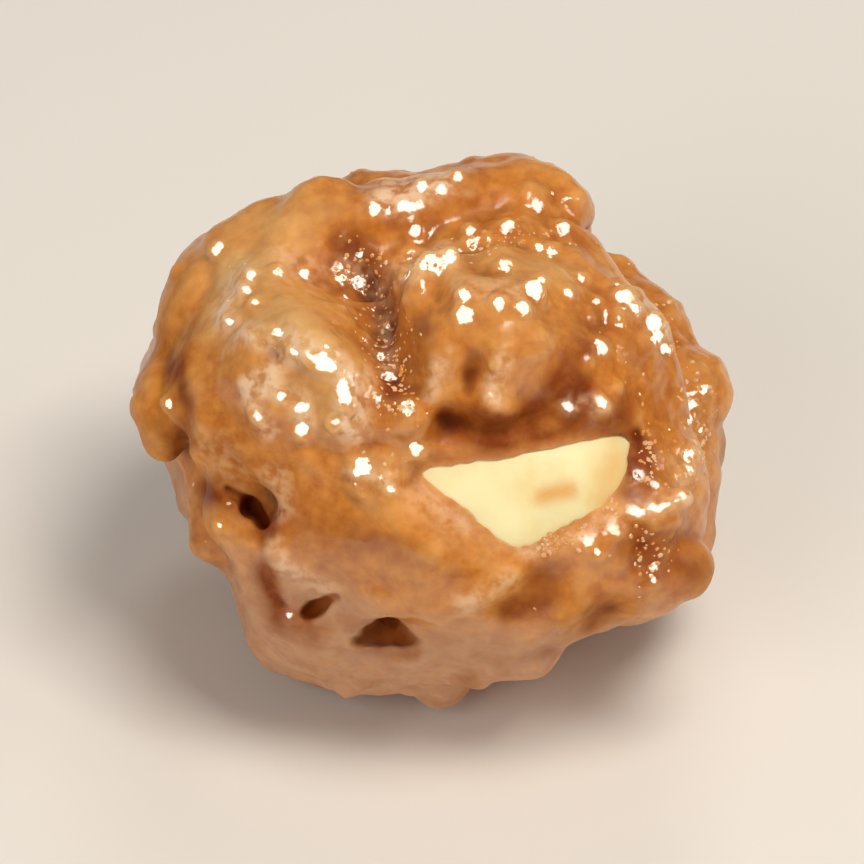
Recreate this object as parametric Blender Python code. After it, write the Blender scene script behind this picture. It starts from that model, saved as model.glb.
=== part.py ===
"""One candy-coated peanut: a roasted kernel inside a thick, lumpy coat of cooked sugar, bare at one spot.

Metres, +Z up. The origin is the middle of the base, on the flat spot that the sweet rests on. The long
side runs along X, and the front, with the bare spot, faces -Y and a little up. The forms on the front
are placed as they are seen from there: millimetres to the right of the sweet's middle, and up from it.
"""

import math
import random

import bmesh
import bpy
from mathutils import Matrix, Vector, noise

MM = 0.001

# The coated sweet
COAT_WIDTH = 19.5 * MM
COAT_DEPTH = 17.2 * MM
COAT_HEIGHT = 16.4 * MM
COAT_MIDDLE = Vector((0, 0, COAT_HEIGHT / 2))
LUMPS_STAND_OUT = 0.4 * MM
FLAT_SPOT_TRIM = 0.35 * MM
FLOOR_WIDTH = 30 * MM
FLOOR_DEPTH = 4 * MM
BOXINESS = 2.25
DOME_FLATNESS = 2.5
COAT_TRIANGLES = 8800
SPHERE_CUTS = 63
HALVINGS = 30

# How the front is looked at: from in front and this far above
SIGHT_ELEVATION = math.radians(40)
RIGHT = Vector((1, 0, 0))
UP = Vector((0, math.sin(SIGHT_ELEVATION), math.cos(SIGHT_ELEVATION)))
TOWARDS = RIGHT.cross(UP)

# The kernel, an oval of two halves, and where its middle lies from the coat's middle
KERNEL_LENGTH = 13.0 * MM
KERNEL_WIDTH = 9.4 * MM
KERNEL_THICKNESS = 9.2 * MM
KERNEL_OFFSET = (RIGHT * 1.6 - UP * 1.6 + TOWARDS * 2.25) * MM
KERNEL_YAW = math.radians(-9)
KERNEL_SEAM_DEPTH = 0.25 * MM
KERNEL_SEAM_WIDTH = 0.9 * MM
KERNEL_SUBDIVISIONS = 4
KERNEL_CLEARANCE = 0.3 * MM
COAT_OVER_KERNEL = 0.9 * MM
THINNEST_COAT = 0.5 * MM
KERNEL_BULGE_BLEND = 0.8 * MM

# The bare spot: its outline, and how the coat thins to a feather edge round the line along its middle
BARE_OUTLINE = [
    (-0.3, -1.2), (2.2, -0.9), (4.4, -0.5), (6.1, -0.2), (5.7, -1.6), (3.7, -3.0), (2.5, -3.5), (1.0, -2.4),
]
BARE_MIDLINE = [(0.9, -1.6), (2.7, -2.2), (4.8, -1.1)]
BARE_THIN_REACH = 1.1 * MM
BARE_BLEND_REACH = 2.5 * MM
FEATHER_EDGE = 0.3 * MM
BARE_CURVE_STEPS = 3
BARE_CUT_START = 4.0 * MM
BARE_CUT_END = 14.0 * MM

# Forms on the front, in millimetres: the places that each runs through, its reach to either side, and
# its height above the coat, which is negative for a crease, a pit or a flattened side. A place at the edge
# of sight has a third number, how far it lies towards the viewer
FRONT_FORMS = {
    "left_lobe": ([(-5.4, 1.5)], 4.8, 1.0),
    "left_shoulder": ([(-5.0, 6.0)], 3.2, 0.7),
    "knob": ([(1.6, 3.5), (2.5, 3.2)], 3.2, 1.2),
    "lower_swell": ([(-0.4, -4.2)], 3.2, 0.5),
    "lower_right_lump": ([(7.3, -5.0)], 2.4, 1.0),
    "right_corner": ([(9.6, 1.6)], 2.0, 0.9),
    "top_corner": ([(5.0, 7.7)], 1.9, 0.6),
    "bottom_nub": ([(1.0, -8.6)], 1.4, 0.6),
    "bottom_right_nub": ([(4.3, -7.3)], 1.1, 0.4),
    "knob_drip_left": ([(0.5, 2.8), (0.3, 1.5)], 0.9, 0.35),
    "knob_drip_right": ([(2.3, 2.6), (2.4, 1.2)], 0.9, 0.4),
    "top_ridge": ([(-3.0, 6.9), (0.0, 7.4), (2.8, 7.7), (5.0, 7.5)], 1.8, 0.9),
    "right_ridge": ([(5.5, 6.3), (7.6, 3.7), (8.7, 1.2), (8.5, -1.2), (7.3, -2.4)], 1.5, 0.9),
    "main_crevice": ([(-3.0, 5.8), (-1.8, 4.6), (-1.2, 3.0), (-0.8, 1.4)], 1.5, -1.1),
    "top_crease": ([(-2.4, 5.8), (0.2, 5.8), (2.8, 6.1), (4.2, 6.3)], 0.9, -0.6),
    "knob_hollow": ([(0.6, 0.3), (1.8, -0.1), (3.6, 0.2), (5.0, 0.5)], 0.9, -0.7),
    "right_valley": ([(4.7, 5.3), (5.6, 3.0), (6.4, 0.6)], 1.2, -0.5),
    "left_notch": ([(-8.4, -1.9), (-7.2, -1.8), (-6.0, -2.0)], 1.0, -0.5),
    "lower_right_notch": ([(5.2, -7.4, 0.0), (5.3, -6.0), (5.6, -4.8)], 1.8, -1.2),
    "deep_pinhole": ([(-5.5, -2.6)], 0.8, -1.4),
    "slot": ([(-4.0, -5.6), (-3.3, -5.2)], 0.6, -0.7),
    "wide_pit": ([(-1.4, -6.3)], 1.0, -1.0),
    "upper_right_side": ([(6.4, 6.8, 0.5), (7.9, 5.0, 2.0), (8.9, 3.4, 2.0)], 3.4, -1.8),
    "right_side": ([(9.4, -0.2, 3.4), (9.0, -1.8, 4.2), (8.8, -3.2, 2.6)], 3.2, -1.5),
    "lower_right_side": ([(4.0, -8.6, 0.0), (6.0, -7.2, -2.0)], 3.2, -1.3),
    "lower_left_side": (
        [(-8.6, -2.4, 2.6), (-8.9, -2.2, -1.0), (-8.0, -4.3, -0.8), (-7.8, -4.2, 2.6)],
        3.6,
        -1.6,
    ),
    "upper_left_side": ([(-4.6, 8.2, 0.0), (-7.6, 6.4, 0.5), (-9.2, 3.6, 0.5)], 2.4, -0.6),
    "top_side": ([(-1.8, 8.4), (1.2, 8.8)], 2.2, 0.5),
}

# Lumps and hollows of the rest of the coat, spread evenly and drawn from a fixed seed
SCATTERED_FORMS = 46
SCATTER_SEED = 12
SCATTER_FRONT_LIMIT = 0.25
SCATTER_REST_LIMIT = -0.8
SCATTER_REACH = (1.8, 4.0)
SCATTER_HEIGHT = (-0.7, 1.0)
SCATTER_TURN = 0.3

# How far the forms wander from their paths, with a pattern of its own for each axis, how uneven they
# are, and the crumb of the crust all over
WANDER = 0.7 * MM
WANDER_SIZE = 3.2 * MM
WANDER_SHIFTS = (Vector((9.3, -1.5, -7.9)), Vector((0, 0, 0)), Vector((-6.9, 1.4, 9.1)))
UNEVENNESS = 0.5
UNEVEN_SIZE = 1.9 * MM
CRUMB_SIZE = 2.4 * MM
CRUMB_HEIGHT = 0.3 * MM
CRUMB_ROUGHNESS = 0.8
CRUMB_FINENESS = 2.0
CRUMB_OCTAVES = 3

CARAMEL = (0.55, 0.235, 0.068, 1.0)
CREAM = (0.89, 0.72, 0.33, 1.0)
COAT_ROUGHNESS = 0.3
KERNEL_ROUGHNESS = 0.45


def kernel_matrix():
    """Where the kernel lies in the coat."""
    return Matrix.Translation(COAT_MIDDLE + KERNEL_OFFSET) @ Matrix.Rotation(KERNEL_YAW, 4, "Z")


def kernel_reach(direction, clearance):
    """How far the kernel, grown by a clearance, reaches from the coat's middle in a unit direction."""
    to_kernel = kernel_matrix().inverted()
    halves = (KERNEL_LENGTH / 2, KERNEL_WIDTH / 2, KERNEL_THICKNESS / 2)
    squash = Matrix.Diagonal([1 / (half + clearance) for half in halves])
    start = squash @ (to_kernel @ COAT_MIDDLE)
    step = squash @ (to_kernel.to_3x3() @ direction)
    a, b, c = step.dot(step), start.dot(step), start.dot(start) - 1
    return (-b + math.sqrt(max(0.0, b * b - a * c))) / a


def plain_radius(direction):
    """How far the plain coat reaches in a unit direction: a boxy egg that bulges over the kernel."""
    half_sizes = [size / 2 - LUMPS_STAND_OUT for size in (COAT_WIDTH, COAT_DEPTH, COAT_HEIGHT)]
    total = sum((abs(part) / half) ** BOXINESS for part, half in zip(direction, half_sizes))
    egg = total ** (-1 / BOXINESS)
    bulge = kernel_reach(direction, KERNEL_CLEARANCE) + COAT_OVER_KERNEL
    return (egg + bulge + math.hypot(egg - bulge, KERNEL_BULGE_BLEND)) / 2


def seen_place(right, up, towards=None):
    """The point of the plain coat that is seen at this many millimetres to the right and up.

    A place at the edge of sight also says how far it lies towards the viewer.
    """
    flat = (RIGHT * right + UP * up) * MM
    near, far = 0.0, COAT_WIDTH
    for _ in range(HALVINGS if towards is None else 0):
        middle = (near + far) / 2
        point = flat + TOWARDS * middle
        inside = point.length < plain_radius(point.normalized())
        near, far = (middle, far) if inside else (near, middle)
    depth = near if towards is None else towards * MM
    direction = (flat + TOWARDS * depth).normalized()
    return direction * plain_radius(direction)


def distance_to_path(point, path):
    """The distance from a point to the nearest place on a path of one or more points."""
    if len(path) == 1:
        return (point - path[0]).length
    nearest = COAT_WIDTH
    for start, end in zip(path, path[1:]):
        along = end - start
        share = max(0.0, min(1.0, (point - start).dot(along) / along.length_squared))
        nearest = min(nearest, (point - start - along * share).length)
    return nearest


def dome(share):
    """1 at the middle of a form, falling smoothly to 0 at its reach."""
    return (1 - share ** DOME_FLATNESS) ** 2 if share < 1 else 0.0


def smooth_step(low, high, value):
    """0 below low, 1 above high, and smooth between them."""
    share = max(0.0, min(1.0, (value - low) / (high - low)))
    return share * share * (3 - 2 * share)


def scattered_forms():
    """Lumps and hollows for the sides and the back, on an even spiral round the sweet."""
    draw = random.Random(SCATTER_SEED)
    golden_turn = math.pi * (3 - math.sqrt(5))
    forms = []
    for index in range(SCATTERED_FORMS):
        height = 1 - 2 * (index + 0.5) / SCATTERED_FORMS
        turn = golden_turn * index + draw.uniform(-SCATTER_TURN, SCATTER_TURN)
        ring = math.sqrt(1 - height * height)
        direction = Vector((ring * math.cos(turn), ring * math.sin(turn), height))
        reach = draw.uniform(*SCATTER_REACH) * MM
        rise = draw.uniform(*SCATTER_HEIGHT) * MM
        if direction.dot(TOWARDS) < SCATTER_FRONT_LIMIT and height > SCATTER_REST_LIMIT:
            forms.append(([direction * plain_radius(direction)], reach, rise))
    return forms


def coat_forms():
    """Every form of the coat as its path on the plain coat, its reach and its height, in metres."""
    front = [
        ([seen_place(*place) for place in places], reach * MM, height * MM)
        for places, reach, height in FRONT_FORMS.values()
    ]
    return front + scattered_forms()


def lumpy_point(direction, forms):
    """The point of the lumpy coat in a unit direction from its middle."""
    plain = direction * plain_radius(direction)
    stray = Vector(noise.noise(plain / WANDER_SIZE + shift) for shift in WANDER_SHIFTS)
    near = plain + stray * WANDER
    rise = sum(height * dome(distance_to_path(near, path) / reach) for path, reach, height in forms)
    uneven = 1 + UNEVENNESS * noise.noise(plain / UNEVEN_SIZE)
    crumb = noise.fractal(plain / CRUMB_SIZE, CRUMB_ROUGHNESS, CRUMB_FINENESS, CRUMB_OCTAVES)
    return plain + direction * (rise * uneven + CRUMB_HEIGHT * crumb)


def fit_to_size(mesh):
    """Brings the coat to its exact size, standing past the floor by the trim that makes its flat spot."""
    points = [vertex.co.copy() for vertex in mesh.verts]
    low = Vector(min(point[axis] for point in points) for axis in range(3))
    high = Vector(max(point[axis] for point in points) for axis in range(3))
    size = Vector((COAT_WIDTH, COAT_DEPTH, COAT_HEIGHT + FLAT_SPOT_TRIM))
    scale = Matrix.Diagonal([wanted / (top - bottom) for wanted, top, bottom in zip(size, high, low)])
    middle = (low + high) / 2
    target = COAT_MIDDLE - Vector((0, 0, FLAT_SPOT_TRIM / 2))
    fit = Matrix.Translation(target) @ scale.to_4x4() @ Matrix.Translation(-middle)
    bmesh.ops.transform(mesh, matrix=fit, verts=mesh.verts)


def cover_kernel(mesh):
    """Keeps the coat thick enough over the kernel, and thins it to a feather edge round the bare spot."""
    midline = [Vector(place) * MM for place in BARE_MIDLINE]
    for vertex in mesh.verts:
        offset = vertex.co - COAT_MIDDLE
        direction = offset.normalized()
        seen = Vector((offset.dot(RIGHT), offset.dot(UP)))
        distance = distance_to_path(seen, midline) if offset.dot(TOWARDS) > 0 else BARE_BLEND_REACH
        thick_share = smooth_step(BARE_THIN_REACH, BARE_BLEND_REACH, distance)
        room = kernel_reach(direction, KERNEL_CLEARANCE)
        thick = max(offset.length, room + THINNEST_COAT)
        thin = room + FEATHER_EDGE
        vertex.co = COAT_MIDDLE + direction * (thin + (thick - thin) * thick_share)


def coat_body():
    """The whole coat as a solid lump."""
    forms = coat_forms()
    mesh = bmesh.new()
    bmesh.ops.create_cube(mesh, size=2)
    bmesh.ops.subdivide_edges(mesh, edges=mesh.edges, cuts=SPHERE_CUTS, use_grid_fill=True)
    for vertex in mesh.verts:
        direction = Vector(math.tan(part * math.pi / 4) for part in vertex.co).normalized()
        vertex.co = lumpy_point(direction, forms)
    fit_to_size(mesh)
    cover_kernel(mesh)
    return mesh


def kernel_body(clearance):
    """The kernel, with a shallow seam between its two halves, grown by a clearance."""
    halves = (KERNEL_LENGTH / 2, KERNEL_WIDTH / 2, KERNEL_THICKNESS / 2)
    mesh = bmesh.new()
    bmesh.ops.create_icosphere(mesh, subdivisions=KERNEL_SUBDIVISIONS, radius=1)
    for vertex in mesh.verts:
        oval = Vector(part * (half + clearance) for part, half in zip(vertex.co, halves))
        seam = KERNEL_SEAM_DEPTH * dome(abs(oval.z) / KERNEL_SEAM_WIDTH)
        vertex.co = oval - oval.normalized() * seam
    bmesh.ops.transform(mesh, matrix=kernel_matrix(), verts=mesh.verts)
    return mesh


def smooth_loop(corners):
    """A closed curve through the corners, a few points to each stretch."""
    count = len(corners)
    loop = []
    for index in range(count):
        before, start, end, after = (Vector(corners[(index + step) % count]) for step in (-1, 0, 1, 2))
        for step in range(BARE_CURVE_STEPS):
            share = step / BARE_CURVE_STEPS
            straight = start * 2 + (end - before) * share
            bend = (before * 2 - start * 5 + end * 4 - after) * share ** 2
            turn = (start * 3 - before - end * 3 + after) * share ** 3
            loop.append((straight + bend + turn) / 2)
    return loop


def bare_spot_body():
    """A bar along the line of sight, with the bare spot's outline, that opens the coat to the kernel."""
    mesh = bmesh.new()
    rim = [
        mesh.verts.new(COAT_MIDDLE + (RIGHT * right + UP * up) * MM + TOWARDS * BARE_CUT_START)
        for right, up in smooth_loop(BARE_OUTLINE)
    ]
    grown = bmesh.ops.extrude_face_region(mesh, geom=[mesh.faces.new(rim)])
    moved = [item for item in grown["geom"] if isinstance(item, bmesh.types.BMVert)]
    bmesh.ops.translate(mesh, vec=TOWARDS * (BARE_CUT_END - BARE_CUT_START), verts=moved)
    return mesh


def floor_body():
    """A slab whose top is the floor: it leaves the coat the flat spot that it rests on."""
    mesh = bmesh.new()
    sized = Matrix.Diagonal((FLOOR_WIDTH, FLOOR_WIDTH, FLOOR_DEPTH, 1))
    shape = Matrix.Translation((0, 0, -FLOOR_DEPTH / 2)) @ sized
    bmesh.ops.create_cube(mesh, size=1, matrix=shape)
    return mesh


def finish_material(name, colour, roughness):
    made = bpy.data.materials.new(name)
    made.use_nodes = True
    shader = made.node_tree.nodes["Principled BSDF"]
    shader.inputs["Base Color"].default_value = colour
    shader.inputs["Roughness"].default_value = roughness
    shader.inputs["Metallic"].default_value = 0.0
    return made


def new_object(name, mesh, material=None):
    """A smooth-shaded object from a bmesh, or a hidden cutter where it has no material."""
    bmesh.ops.recalc_face_normals(mesh, faces=mesh.faces)
    data = bpy.data.meshes.new(name)
    mesh.to_mesh(data)
    mesh.free()
    data.shade_smooth()
    made = bpy.data.objects.new(name, data)
    bpy.context.scene.collection.objects.link(made)
    if material:
        data.materials.append(material)
    else:
        made.hide_render = True
        made.display_type = "WIRE"
    return made


def cut(target, cutter):
    boolean = target.modifiers.new(cutter.name, "BOOLEAN")
    boolean.operation = "DIFFERENCE"
    boolean.solver = "EXACT"
    boolean.object = cutter


def main():
    for item in list(bpy.data.objects):
        bpy.data.objects.remove(item)
    coat = new_object("candy_coat", coat_body(), finish_material("candy_coat", CARAMEL, COAT_ROUGHNESS))
    coarser = coat.modifiers.new("coarser", "DECIMATE")
    coarser.ratio = COAT_TRIANGLES / (2 * len(coat.data.polygons))
    cut(coat, new_object("kernel_room", kernel_body(KERNEL_CLEARANCE)))
    cut(coat, new_object("bare_spot", bare_spot_body()))
    cut(coat, new_object("floor", floor_body()))
    new_object("kernel", kernel_body(0.0), finish_material("kernel", CREAM, KERNEL_ROUGHNESS))


main()
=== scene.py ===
"""A candy-coated peanut: a roasted kernel in a lumpy coat of cooked sugar, bare at one spot on the front.

Metres, +Z up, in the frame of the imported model. The sweet rests on the floor at the origin. The forms on
its front are placed as they are seen from there, 40 degrees above the floor: millimetres to the right of
the sweet's middle, and up from it.
"""

import math
import random

import bpy
import numpy as np
from mathutils import Matrix, Vector, noise


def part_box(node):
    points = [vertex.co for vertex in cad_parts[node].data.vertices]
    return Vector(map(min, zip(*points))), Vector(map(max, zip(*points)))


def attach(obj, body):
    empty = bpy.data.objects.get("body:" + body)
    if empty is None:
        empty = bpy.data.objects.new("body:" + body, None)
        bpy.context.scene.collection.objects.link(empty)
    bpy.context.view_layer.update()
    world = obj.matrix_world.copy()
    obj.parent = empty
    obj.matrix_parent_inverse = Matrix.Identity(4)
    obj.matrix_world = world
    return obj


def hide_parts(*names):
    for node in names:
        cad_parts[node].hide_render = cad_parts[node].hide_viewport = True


bl_info = {
    "name": "Candy-coated peanut",
    "version": (1, 0, 0),
    "blender": (4, 5, 0),
    "location": "3D View > Sidebar > Sweet",
    "description": "Models a candy-coated peanut and the stage for its portrait",
    "category": "Add Mesh",
}

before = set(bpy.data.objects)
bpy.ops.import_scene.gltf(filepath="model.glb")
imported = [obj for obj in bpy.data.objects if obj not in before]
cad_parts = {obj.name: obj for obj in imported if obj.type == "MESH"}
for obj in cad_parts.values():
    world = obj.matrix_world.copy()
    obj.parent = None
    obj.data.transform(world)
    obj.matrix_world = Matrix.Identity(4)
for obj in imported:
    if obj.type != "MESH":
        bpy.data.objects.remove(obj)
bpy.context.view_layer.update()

MM = 0.001

# The sweet's middle, and how its front is looked at
COAT_LOW, COAT_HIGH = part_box("candy_coat")
COAT_MIDDLE = Vector((0, 0, (COAT_LOW.z + COAT_HIGH.z) / 2))
KERNEL_LOW, KERNEL_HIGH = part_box("kernel")
KERNEL_MIDDLE = (KERNEL_LOW + KERNEL_HIGH) / 2
KERNEL_HALF_SIZES = (KERNEL_HIGH - KERNEL_LOW) / 2
SIGHT_ELEVATION = math.radians(40)
RIGHT = Vector((1, 0, 0))
UP = Vector((0, math.sin(SIGHT_ELEVATION), math.cos(SIGHT_ELEVATION)))
TOWARDS = RIGHT.cross(UP)
SIGHT_AXES = Matrix((RIGHT, UP, TOWARDS)).transposed()

# A straight look at the sweet starts this many millimetres from its middle, well outside it
LOOK_FROM = 30

# The plain forms: an oval a little larger than the kernel's solid, and a ball round the coat's, each wrapped
# on its solid and smoothed. A cover, a few tenths of a millimetre larger than the kernel, closes the bare
# spot meanwhile
KERNEL_OVERSIZE = 1.05
WRAP_RADIUS = 14 * MM
COVER_MARGIN = 0.55
BASE_SOFTENING = 6

# The bare spot's outline on the front, how finely it is curved and how ragged it is, and where its cut starts
# in front of the sweet's middle and how long it is
BARE_OUTLINE = [
    (-0.3, -1.25), (0.9, -1.0), (2.6, -0.75), (4.4, -0.35), (6.1, -0.15),
    (6.1, -1.2), (5.5, -2.2), (4.3, -2.9), (2.9, -3.6), (1.9, -3.2), (0.9, -2.3),
]
BARE_CURVE_STEPS = 6
RAGGEDNESS = 0.05
BARE_CUT_START = 4
BARE_CUT_LENGTH = 10

# Soft forms: the places that each runs through, its reach to either side, and how far it rises, or sinks
# where that is negative
SOFT_FORMS = {
    "lobe_dome": ([(-4.6, 3.2)], 2.8, 0.35),
    "lobe_fold": ([(-3.9, 2.6), (-2.8, 1.5), (-2.8, 0.5)], 1.4, 0.75),
    "lobe_foot": ([(-7.2, 0.4), (-6.2, -0.6), (-5.2, -1.2)], 1.6, -0.35),
    "lobe_dimple": ([(-5.0, 2.4)], 0.5, -0.4),
    "shoulder_dip": ([(-4.4, 4.7), (-3.2, 4.4)], 0.9, -0.25),
    "crevice": ([(-2.5, 5.4), (-1.8, 4.2), (-1.4, 2.8)], 0.9, -0.35),
    "upper_crest": ([(-0.9, 5.1), (0.1, 5.4), (1.0, 5.8), (2.4, 6.5), (4.1, 6.4)], 0.7, 0.4),
    "top_crease": ([(-2.2, 6.0), (-0.7, 6.2), (0.8, 6.6), (2.2, 7.1)], 0.6, -0.35),
    "top_roll": ([(-2.4, 7.2), (-0.4, 7.6), (1.0, 7.6)], 1.0, 0.25),
    "knob_face": ([(1.5, 3.4), (3.0, 3.3)], 2.2, 0.35),
    "knob_crest": ([(0.9, 4.3), (2.0, 4.1), (3.4, 4.5)], 0.8, 0.25),
    "knob_hollow": ([(1.2, 4.95), (2.1, 5.0)], 0.6, -0.3),
    "knob_brow": ([(2.3, 5.7), (2.3, 4.9)], 0.6, 0.2),
    "knob_right_fill": ([(4.8, 4.6), (5.0, 3.6), (5.0, 2.6), (4.9, 1.9)], 1.5, 0.6),
    "knob_top_fill": ([(0.6, 5.4), (2.6, 5.8), (4.2, 5.5)], 1.1, 0.5),
    "flute_left": ([(0.3, 2.4), (0.0, 1.0)], 0.8, 0.3),
    "flute_middle": ([(2.1, 2.5), (2.1, 0.8)], 0.9, 0.35),
    "flute_right": ([(3.2, 2.6), (3.8, 1.7)], 0.8, 0.3),
    "knob_lip": ([(0.3, 0.95), (1.6, 0.75), (2.8, 0.9), (3.8, 1.6)], 0.6, 0.45),
    "groove_left": ([(1.2, 2.4), (1.15, 1.1)], 0.45, -0.35),
    "groove_right": ([(2.85, 2.3), (3.0, 1.5)], 0.4, -0.12),
    "under_knob": ([(0.5, 0.3), (1.6, 0.1), (3.0, 0.2), (4.9, 1.4)], 0.5, -0.15),
    "crevice_foot": ([(-1.0, 1.5), (-0.9, 0.5)], 1.2, 0.9),
    "shelf": ([(4.0, 0.7), (5.6, 0.9)], 1.0, 0.45),
    "plateau": ([(5.9, 3.4), (6.1, 2.0)], 1.5, 0.7),
    "right_hollow": ([(4.9, 3.1)], 0.6, -0.3),
    "right_of_bare": ([(6.5, 0.2), (6.6, -0.8), (6.4, -1.7)], 0.45, -0.3),
    "lower_band": ([(-1.6, -1.6), (0.2, -3.2), (2.4, -4.4)], 1.2, 0.2),
    "step_edge": ([(-5.0, -3.4), (-4.6, -4.3), (-3.4, -5.0)], 0.6, 0.35),
    "pit_brow": ([(-2.2, -5.6), (-0.9, -5.4)], 0.7, 0.2),
    "lower_hollow": ([(2.4, -5.6), (3.4, -5.0), (4.0, -4.5)], 0.8, -0.25),
    "lower_streak": ([(0.9, -5.4), (2.6, -4.5)], 0.5, 0.2),
    "lower_ridge": ([(2.8, -6.6), (4.2, -5.7), (5.4, -4.9), (6.6, -4.7)], 0.55, 0.35),
    "foot_shade": ([(4.9, -6.1), (5.6, -5.6)], 0.6, -0.2),
    "left_cleft": ([(-8.1, 0.9), (-8.0, -0.4)], 0.45, -0.45),
}

# The sides of the knob that are softened first, and how often each stage is smoothed
KNOB_SIDES = {"knob": ([(1.6, 3.4), (3.2, 3.4), (4.4, 2.4)], 3.6, 1.0)}
KNOB_SOFTENING = 45
FORM_SOFTENING = 8
LUMP_SOFTENING = 10
CRUST_SOFTENING = 3

# How far the forms stray from their places, how uneven they are, and where they fade out towards the back
WANDER = 0.3 * MM
WANDER_SIZE = 1.8 * MM
WANDER_SHIFTS = (Vector((7.1, -2.3, 4.9)), Vector((0, 0, 0)), Vector((-5.3, 8.7, 2.2)))
UNEVENNESS = 0.6
UNEVEN_SIZE = 1.4 * MM
FORM_FADE = (-0.5, 2.5)

# Sugar that ran and set on the front: place, half sizes across, up and out, turn, how far it stands out
FRONT_LUMPS = {
    "knob_left": ((-0.2, 3.9), (0.8, 1.2, 0.9), 12, 0.1),
    "shelf_left": ((4.3, 0.7), (0.5, 0.35, 0.5), 10, 0.2),
    "shelf_right": ((5.3, 0.8), (0.5, 0.35, 0.5), -5, 0.2),
    "left_rim": ((-8.6, 0.6), (0.9, 1.6, 1.2), 5, 0.15),
    "shoulder_edge": ((-7.5, 4.2), (1.1, 2.4, 3.0), -22, 0.5),
    "top_right_nub": ((3.9, 7.5), (1.5, 0.9, 1.5), -35, 0.25),
    "right_foot_nub": ((7.8, -4.3), (1.2, 1.1, 1.5), 0, 0.25),
    "rim_roll": ((7.3, -2.3), (1.15, 0.4, 0.6), 14, 0.3),
    "rim_bulge": ((7.0, -2.95), (1.0, 0.55, 0.7), 8, 0.25),
    "crest_bead": ((0.1, 5.4), (0.55, 0.25, 0.4), 8, 0.15),
    "left_of_bare": ((-2.2, -1.2), (0.5, 0.4, 0.5), 0, 0.2),
}

# Flat beads of glaze that face the light: the place, and the radius, or half the length, half the width and
# the turn
BEADS = [
    (-5.75, 4.95, 0.35), (-5.85, 4.5, 0.32), (-5.6, 4.05, 0.32), (-4.9, 5.05, 0.35), (-4.0, 5.0, 0.35),
    (-4.9, 3.1, 0.4), (-5.4, 2.85, 0.3), (-4.35, 2.5, 0.3), (-3.45, 2.15, 0.9, 0.38, -38),
    (-2.75, 1.15, 0.75, 0.44, -80), (-3.05, 0.3, 0.38), (-4.1, 0.8, 0.4), (-4.7, 1.15, 0.35),
    (-4.05, 0.05, 0.42), (-5.5, 0.5, 0.5, 0.3, -62), (-6.4, 3.5, 0.3), (-6.8, 5.8, 0.4),
    (-0.75, 0.75, 0.42), (-0.5, -0.55, 0.42), (-8.3, 0.9, 0.35), (-2.3, 5.6, 0.35), (-2.4, 4.75, 0.35),
    (-2.7, 4.3, 0.3), (-1.6, 5.2, 0.3), (-0.7, 5.6, 0.35), (-0.8, 5.0, 0.35), (0.0, 5.35, 0.7, 0.42, 10),
    (0.6, 5.6, 0.35), (-0.5, 6.35, 0.35), (-1.6, 2.35, 0.35), (-1.4, 1.75, 0.35), (-2.1, 2.9, 0.3),
    (-1.3, 3.3, 0.3), (0.2, 1.95, 0.22), (0.05, 1.25, 0.2), (-1.8, 7.1, 0.4), (-0.9, 7.15, 0.35),
    (-0.3, 7.8, 0.35), (0.3, 7.65, 0.35), (0.8, 8.1, 0.35), (1.0, 3.65, 0.45), (1.0, 4.35, 0.35),
    (2.1, 4.05, 0.38), (2.85, 3.9, 0.38), (3.2, 4.4, 0.5), (3.4, 4.75, 0.35), (2.3, 5.2, 0.38),
    (1.2, 6.35, 0.38), (2.4, 6.5, 0.38), (2.75, 6.45, 0.3), (3.4, 7.2, 0.4), (4.15, 6.4, 0.45),
    (3.4, 5.85, 0.3), (3.8, 5.7, 0.38), (4.7, 4.8, 0.35), (4.3, 4.4, 0.3), (5.1, 4.1, 0.32),
    (6.1, 4.3, 0.45), (5.9, 4.7, 0.3), (6.4, 3.9, 0.32), (7.0, 3.45, 0.5), (7.1, 3.05, 0.45),
    (7.4, 2.65, 0.4), (7.7, 3.0, 0.3), (5.3, 2.65, 0.45), (4.9, 2.3, 0.3), (1.8, 1.15, 0.22),
    (1.95, 2.1, 0.24), (4.3, 0.8, 0.38), (5.3, 0.9, 0.35), (8.3, 0.9, 0.35), (8.2, 0.4, 0.35),
    (8.7, 1.3, 0.35), (8.6, 0.1, 0.3), (8.1, -0.75, 0.38), (8.15, -1.2, 0.35), (6.5, -1.35, 0.35),
    (7.0, -1.65, 0.32), (6.5, -2.5, 0.35, 0.29, -40), (7.2, -2.35, 0.65, 0.28, 8),
    (7.85, -2.0, 0.45, 0.28, 38), (5.8, -3.15, 0.32), (5.2, -3.8, 0.32), (4.9, -3.45, 0.3),
    (6.4, -4.3, 0.35), (7.0, -4.2, 0.33), (7.0, -4.65, 0.33), (-2.2, -1.1, 0.48), (-2.4, -1.65, 0.32),
    (-2.1, -1.8, 0.36), (-1.3, -1.8, 0.3), (-6.7, -2.95, 0.32), (-4.5, -5.85, 0.3), (-4.6, -5.3, 0.26),
]

# The way that mirrors the key light to the front, how high a bead stands for its width, where the coat faces
# that way and where it doesn't, how deep it is sunk, and how far outside all beads counts as none
BEAD_FACING = SIGHT_AXES @ Vector((0.15, 0.28, 0.95)).normalized()
BEAD_HEIGHT = 0.45
BEAD_HEIGHT_TILTED = 0.7
BEAD_SUNK = 0.15
NO_BEAD = -0.5

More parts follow.
